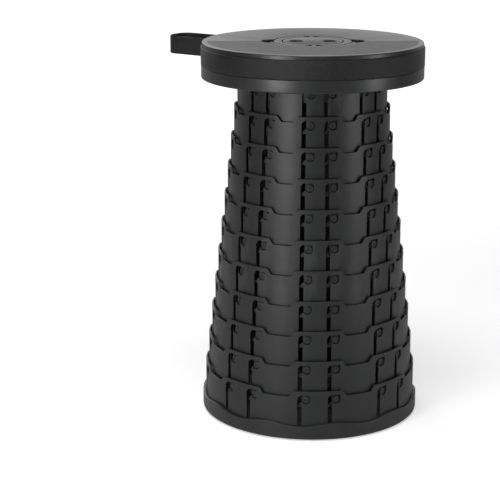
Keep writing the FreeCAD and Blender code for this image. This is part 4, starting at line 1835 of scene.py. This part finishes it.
    @staticmethod
    def _window(plate: Plate, low: float, high: float, tall: float, corner: float, steps: int) -> None:
        """Draw a rectangle with round corners.

        Args:
            plate: The plate to draw on.
            low: Its left side.
            high: Its right side.
            tall: Half its height.
            corner: The corners' radius.
            steps: Steps along each corner.
        """
        corners = [(low, -tall, corner), (high, -tall, corner), (high, tall, corner), (low, tall, corner)]
        plate.line(rounded_path(corners, steps, closed=True), Rim.HOLE)


class Fasteners:
    """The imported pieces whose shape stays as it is, given their finishes: screws and pads."""

    @staticmethod
    def build(nodes: dict[str, bpy.types.Object], palette: Palette) -> None:
        """Give the screws and the pads their materials.

        Args:
            nodes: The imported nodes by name.
            palette: The stool's materials.
        """
        for node, material in (("seat_screws", palette.steel), ("base_pads", palette.rubber)):
            for slot in nodes[node].material_slots:
                slot.material = material
            LOG.info("%s keeps its packed shape", node)


@dataclass(frozen=True)
class SoftBox:
    """A rectangular soft lamp, placed by its turn from the front, its distance and its height."""

    name: str
    turn: float
    distance: float
    height: float
    width: float
    tall: float
    power: float
    aim: float = 0.25

    def hang(self) -> None:
        """Add the lamp to the scene, pointed at the stool's axis."""
        light = bpy.data.lights.new(self.name, "AREA")
        light.shape = "RECTANGLE"
        light.size = self.width
        light.size_y = self.tall
        light.energy = self.power
        lamp = bpy.data.objects.new(self.name, light)
        lamp.location = direction(self.turn) * self.distance + UP * self.height
        lamp.rotation_euler = (UP * self.aim - lamp.location).to_track_quat("-Z", "Y").to_euler()
        bpy.context.collection.objects.link(lamp)


@dataclass
class Studio:
    """The floor, the surround, the lamps and the camera."""

    eye: tuple[float, float, float] = (-0.0662, -1.8058, 0.6791)
    pitch: float = -15.0
    yaw: float = 0.23
    lens: float = 111.0
    floor_size: float = 24.0
    floor_tone: float = 0.82
    floor_lift: float = 0.5
    floor_fade: Point = (0.5, 2.2)
    floor_behind: Point = (0.8, 3.0)
    floor_mirrored: float = 0.35
    backdrop: Point = (0.35, 0.85)
    ambient: float = 0.055
    lamps: tuple[SoftBox, ...] = (
        SoftBox("key", -36.0, 1.7, 0.22, 0.45, 1.3, 19.0),
        SoftBox("strip", 62.0, 1.6, 0.22, 0.22, 1.2, 8.5),
        SoftBox("overhead", -20.0, 0.6, 2.1, 1.2, 1.0, 24.0),
        SoftBox("back", 205.0, 1.8, 1.5, 0.9, 0.9, 9.0),
    )

    def build(self) -> None:
        """Build the whole studio."""
        self._floor()
        self._world()
        for lamp in self.lamps:
            lamp.hang()
        self._camera()

    @staticmethod
    def _seen(board: NodeBoard, mirrored: bpy.types.NodeSocket) -> bpy.types.NodeSocket:
        """How much of the white shows: all of it to the camera, and a share in gloss and through glass.

        Args:
            board: The nodes to add to.
            mirrored: The share that shows in gloss and through glass.

        Returns:
            The amount, from 0 to 1.
        """
        path = board.node("ShaderNodeLightPath").outputs
        gloss = board.math("MAXIMUM", path["Is Glossy Ray"], path["Is Transmission Ray"])
        return board.math("MAXIMUM", path["Is Camera Ray"], board.math("MULTIPLY", gloss, mirrored))

    def _floor(self) -> None:
        """The pale floor, white to the camera and in reflections of the backdrop, with the stool's shadow."""
        made = Finish("studio_floor")
        made.dress("Base Color", (self.floor_tone,) * 3)
        made.dress("Roughness", 0.9)
        made.dress("Specular IOR Level", 0.1)
        made.dress("Emission Color", (1.0, 1.0, 1.0))
        away = made.node("ShaderNodeVectorMath", operation="LENGTH")
        made.join(made.place, away.inputs[0])
        lift = made.ranged(away.outputs["Value"], self.floor_fade, (self.floor_lift, 1.0), "SMOOTHSTEP")
        depth = made.part_of(made.place, "Y")
        behind = made.ranged(depth, self.floor_behind, (0.0, self.floor_mirrored), "SMOOTHSTEP")
        made.dress("Emission Strength", made.math("MULTIPLY", self._seen(made, behind), lift))
        draft = bmesh.new()
        bmesh.ops.create_grid(draft, x_segments=1, y_segments=1, size=self.floor_size / 2)
        floor = object_from(draft, "studio_floor")
        floor.data.materials.append(made.material)
        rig.stage(floor)

    def _world(self) -> None:
        """A dim surround with a white backdrop behind the stool, and white all round to the camera."""
        world = bpy.data.worlds.new("studio_world")
        bpy.context.scene.world = world
        world.use_nodes = True
        board = NodeBoard(world.node_tree)
        background = board.tree.nodes["Background"].inputs
        around = board.node("ShaderNodeTexCoord").outputs["Generated"]
        behind = board.ranged(board.part_of(around, "Y"), self.backdrop, way="SMOOTHSTEP")
        board.join((1.0, 1.0, 1.0), background["Color"])
        board.join(board.math("MAXIMUM", self._seen(board, behind), self.ambient), background["Strength"])

    def _camera(self) -> None:
        """Set the camera at the photograph's viewing angle."""
        data = bpy.data.cameras.new("camera")
        data.lens = self.lens
        data.sensor_width = 36.0
        data.clip_end = 50.0
        camera = bpy.data.objects.new("camera", data)
        camera.location = self.eye
        camera.rotation_euler = (math.radians(90 + self.pitch), 0, math.radians(self.yaw))
        bpy.context.collection.objects.link(camera)
        bpy.context.scene.camera = camera


def main() -> None:
    """Load the frame, build every sub-assembly in order, and write the two boxes."""
    logging.basicConfig(level=logging.INFO, format="%(message)s")
    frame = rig.load()
    packed_box = [list(corner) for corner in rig.bounds()]
    palette = Palette()
    hub = Hub()
    RingStack().build(palette)
    BaseCup().build(palette)
    SeatFrame().build(hub, palette)
    SeatCover().build(hub, palette)
    hub.build(palette)
    Strap().build(palette)
    Fasteners().build(frame["nodes"], palette)
    Studio().build()
    scene = bpy.context.scene
    scene.view_settings.view_transform = "Standard"
    with open("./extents.json", "w") as file:
        json.dump({"packed": packed_box, "dressed": [list(corner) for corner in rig.bounds()]}, file)


if __name__ == "__main__":
    main()
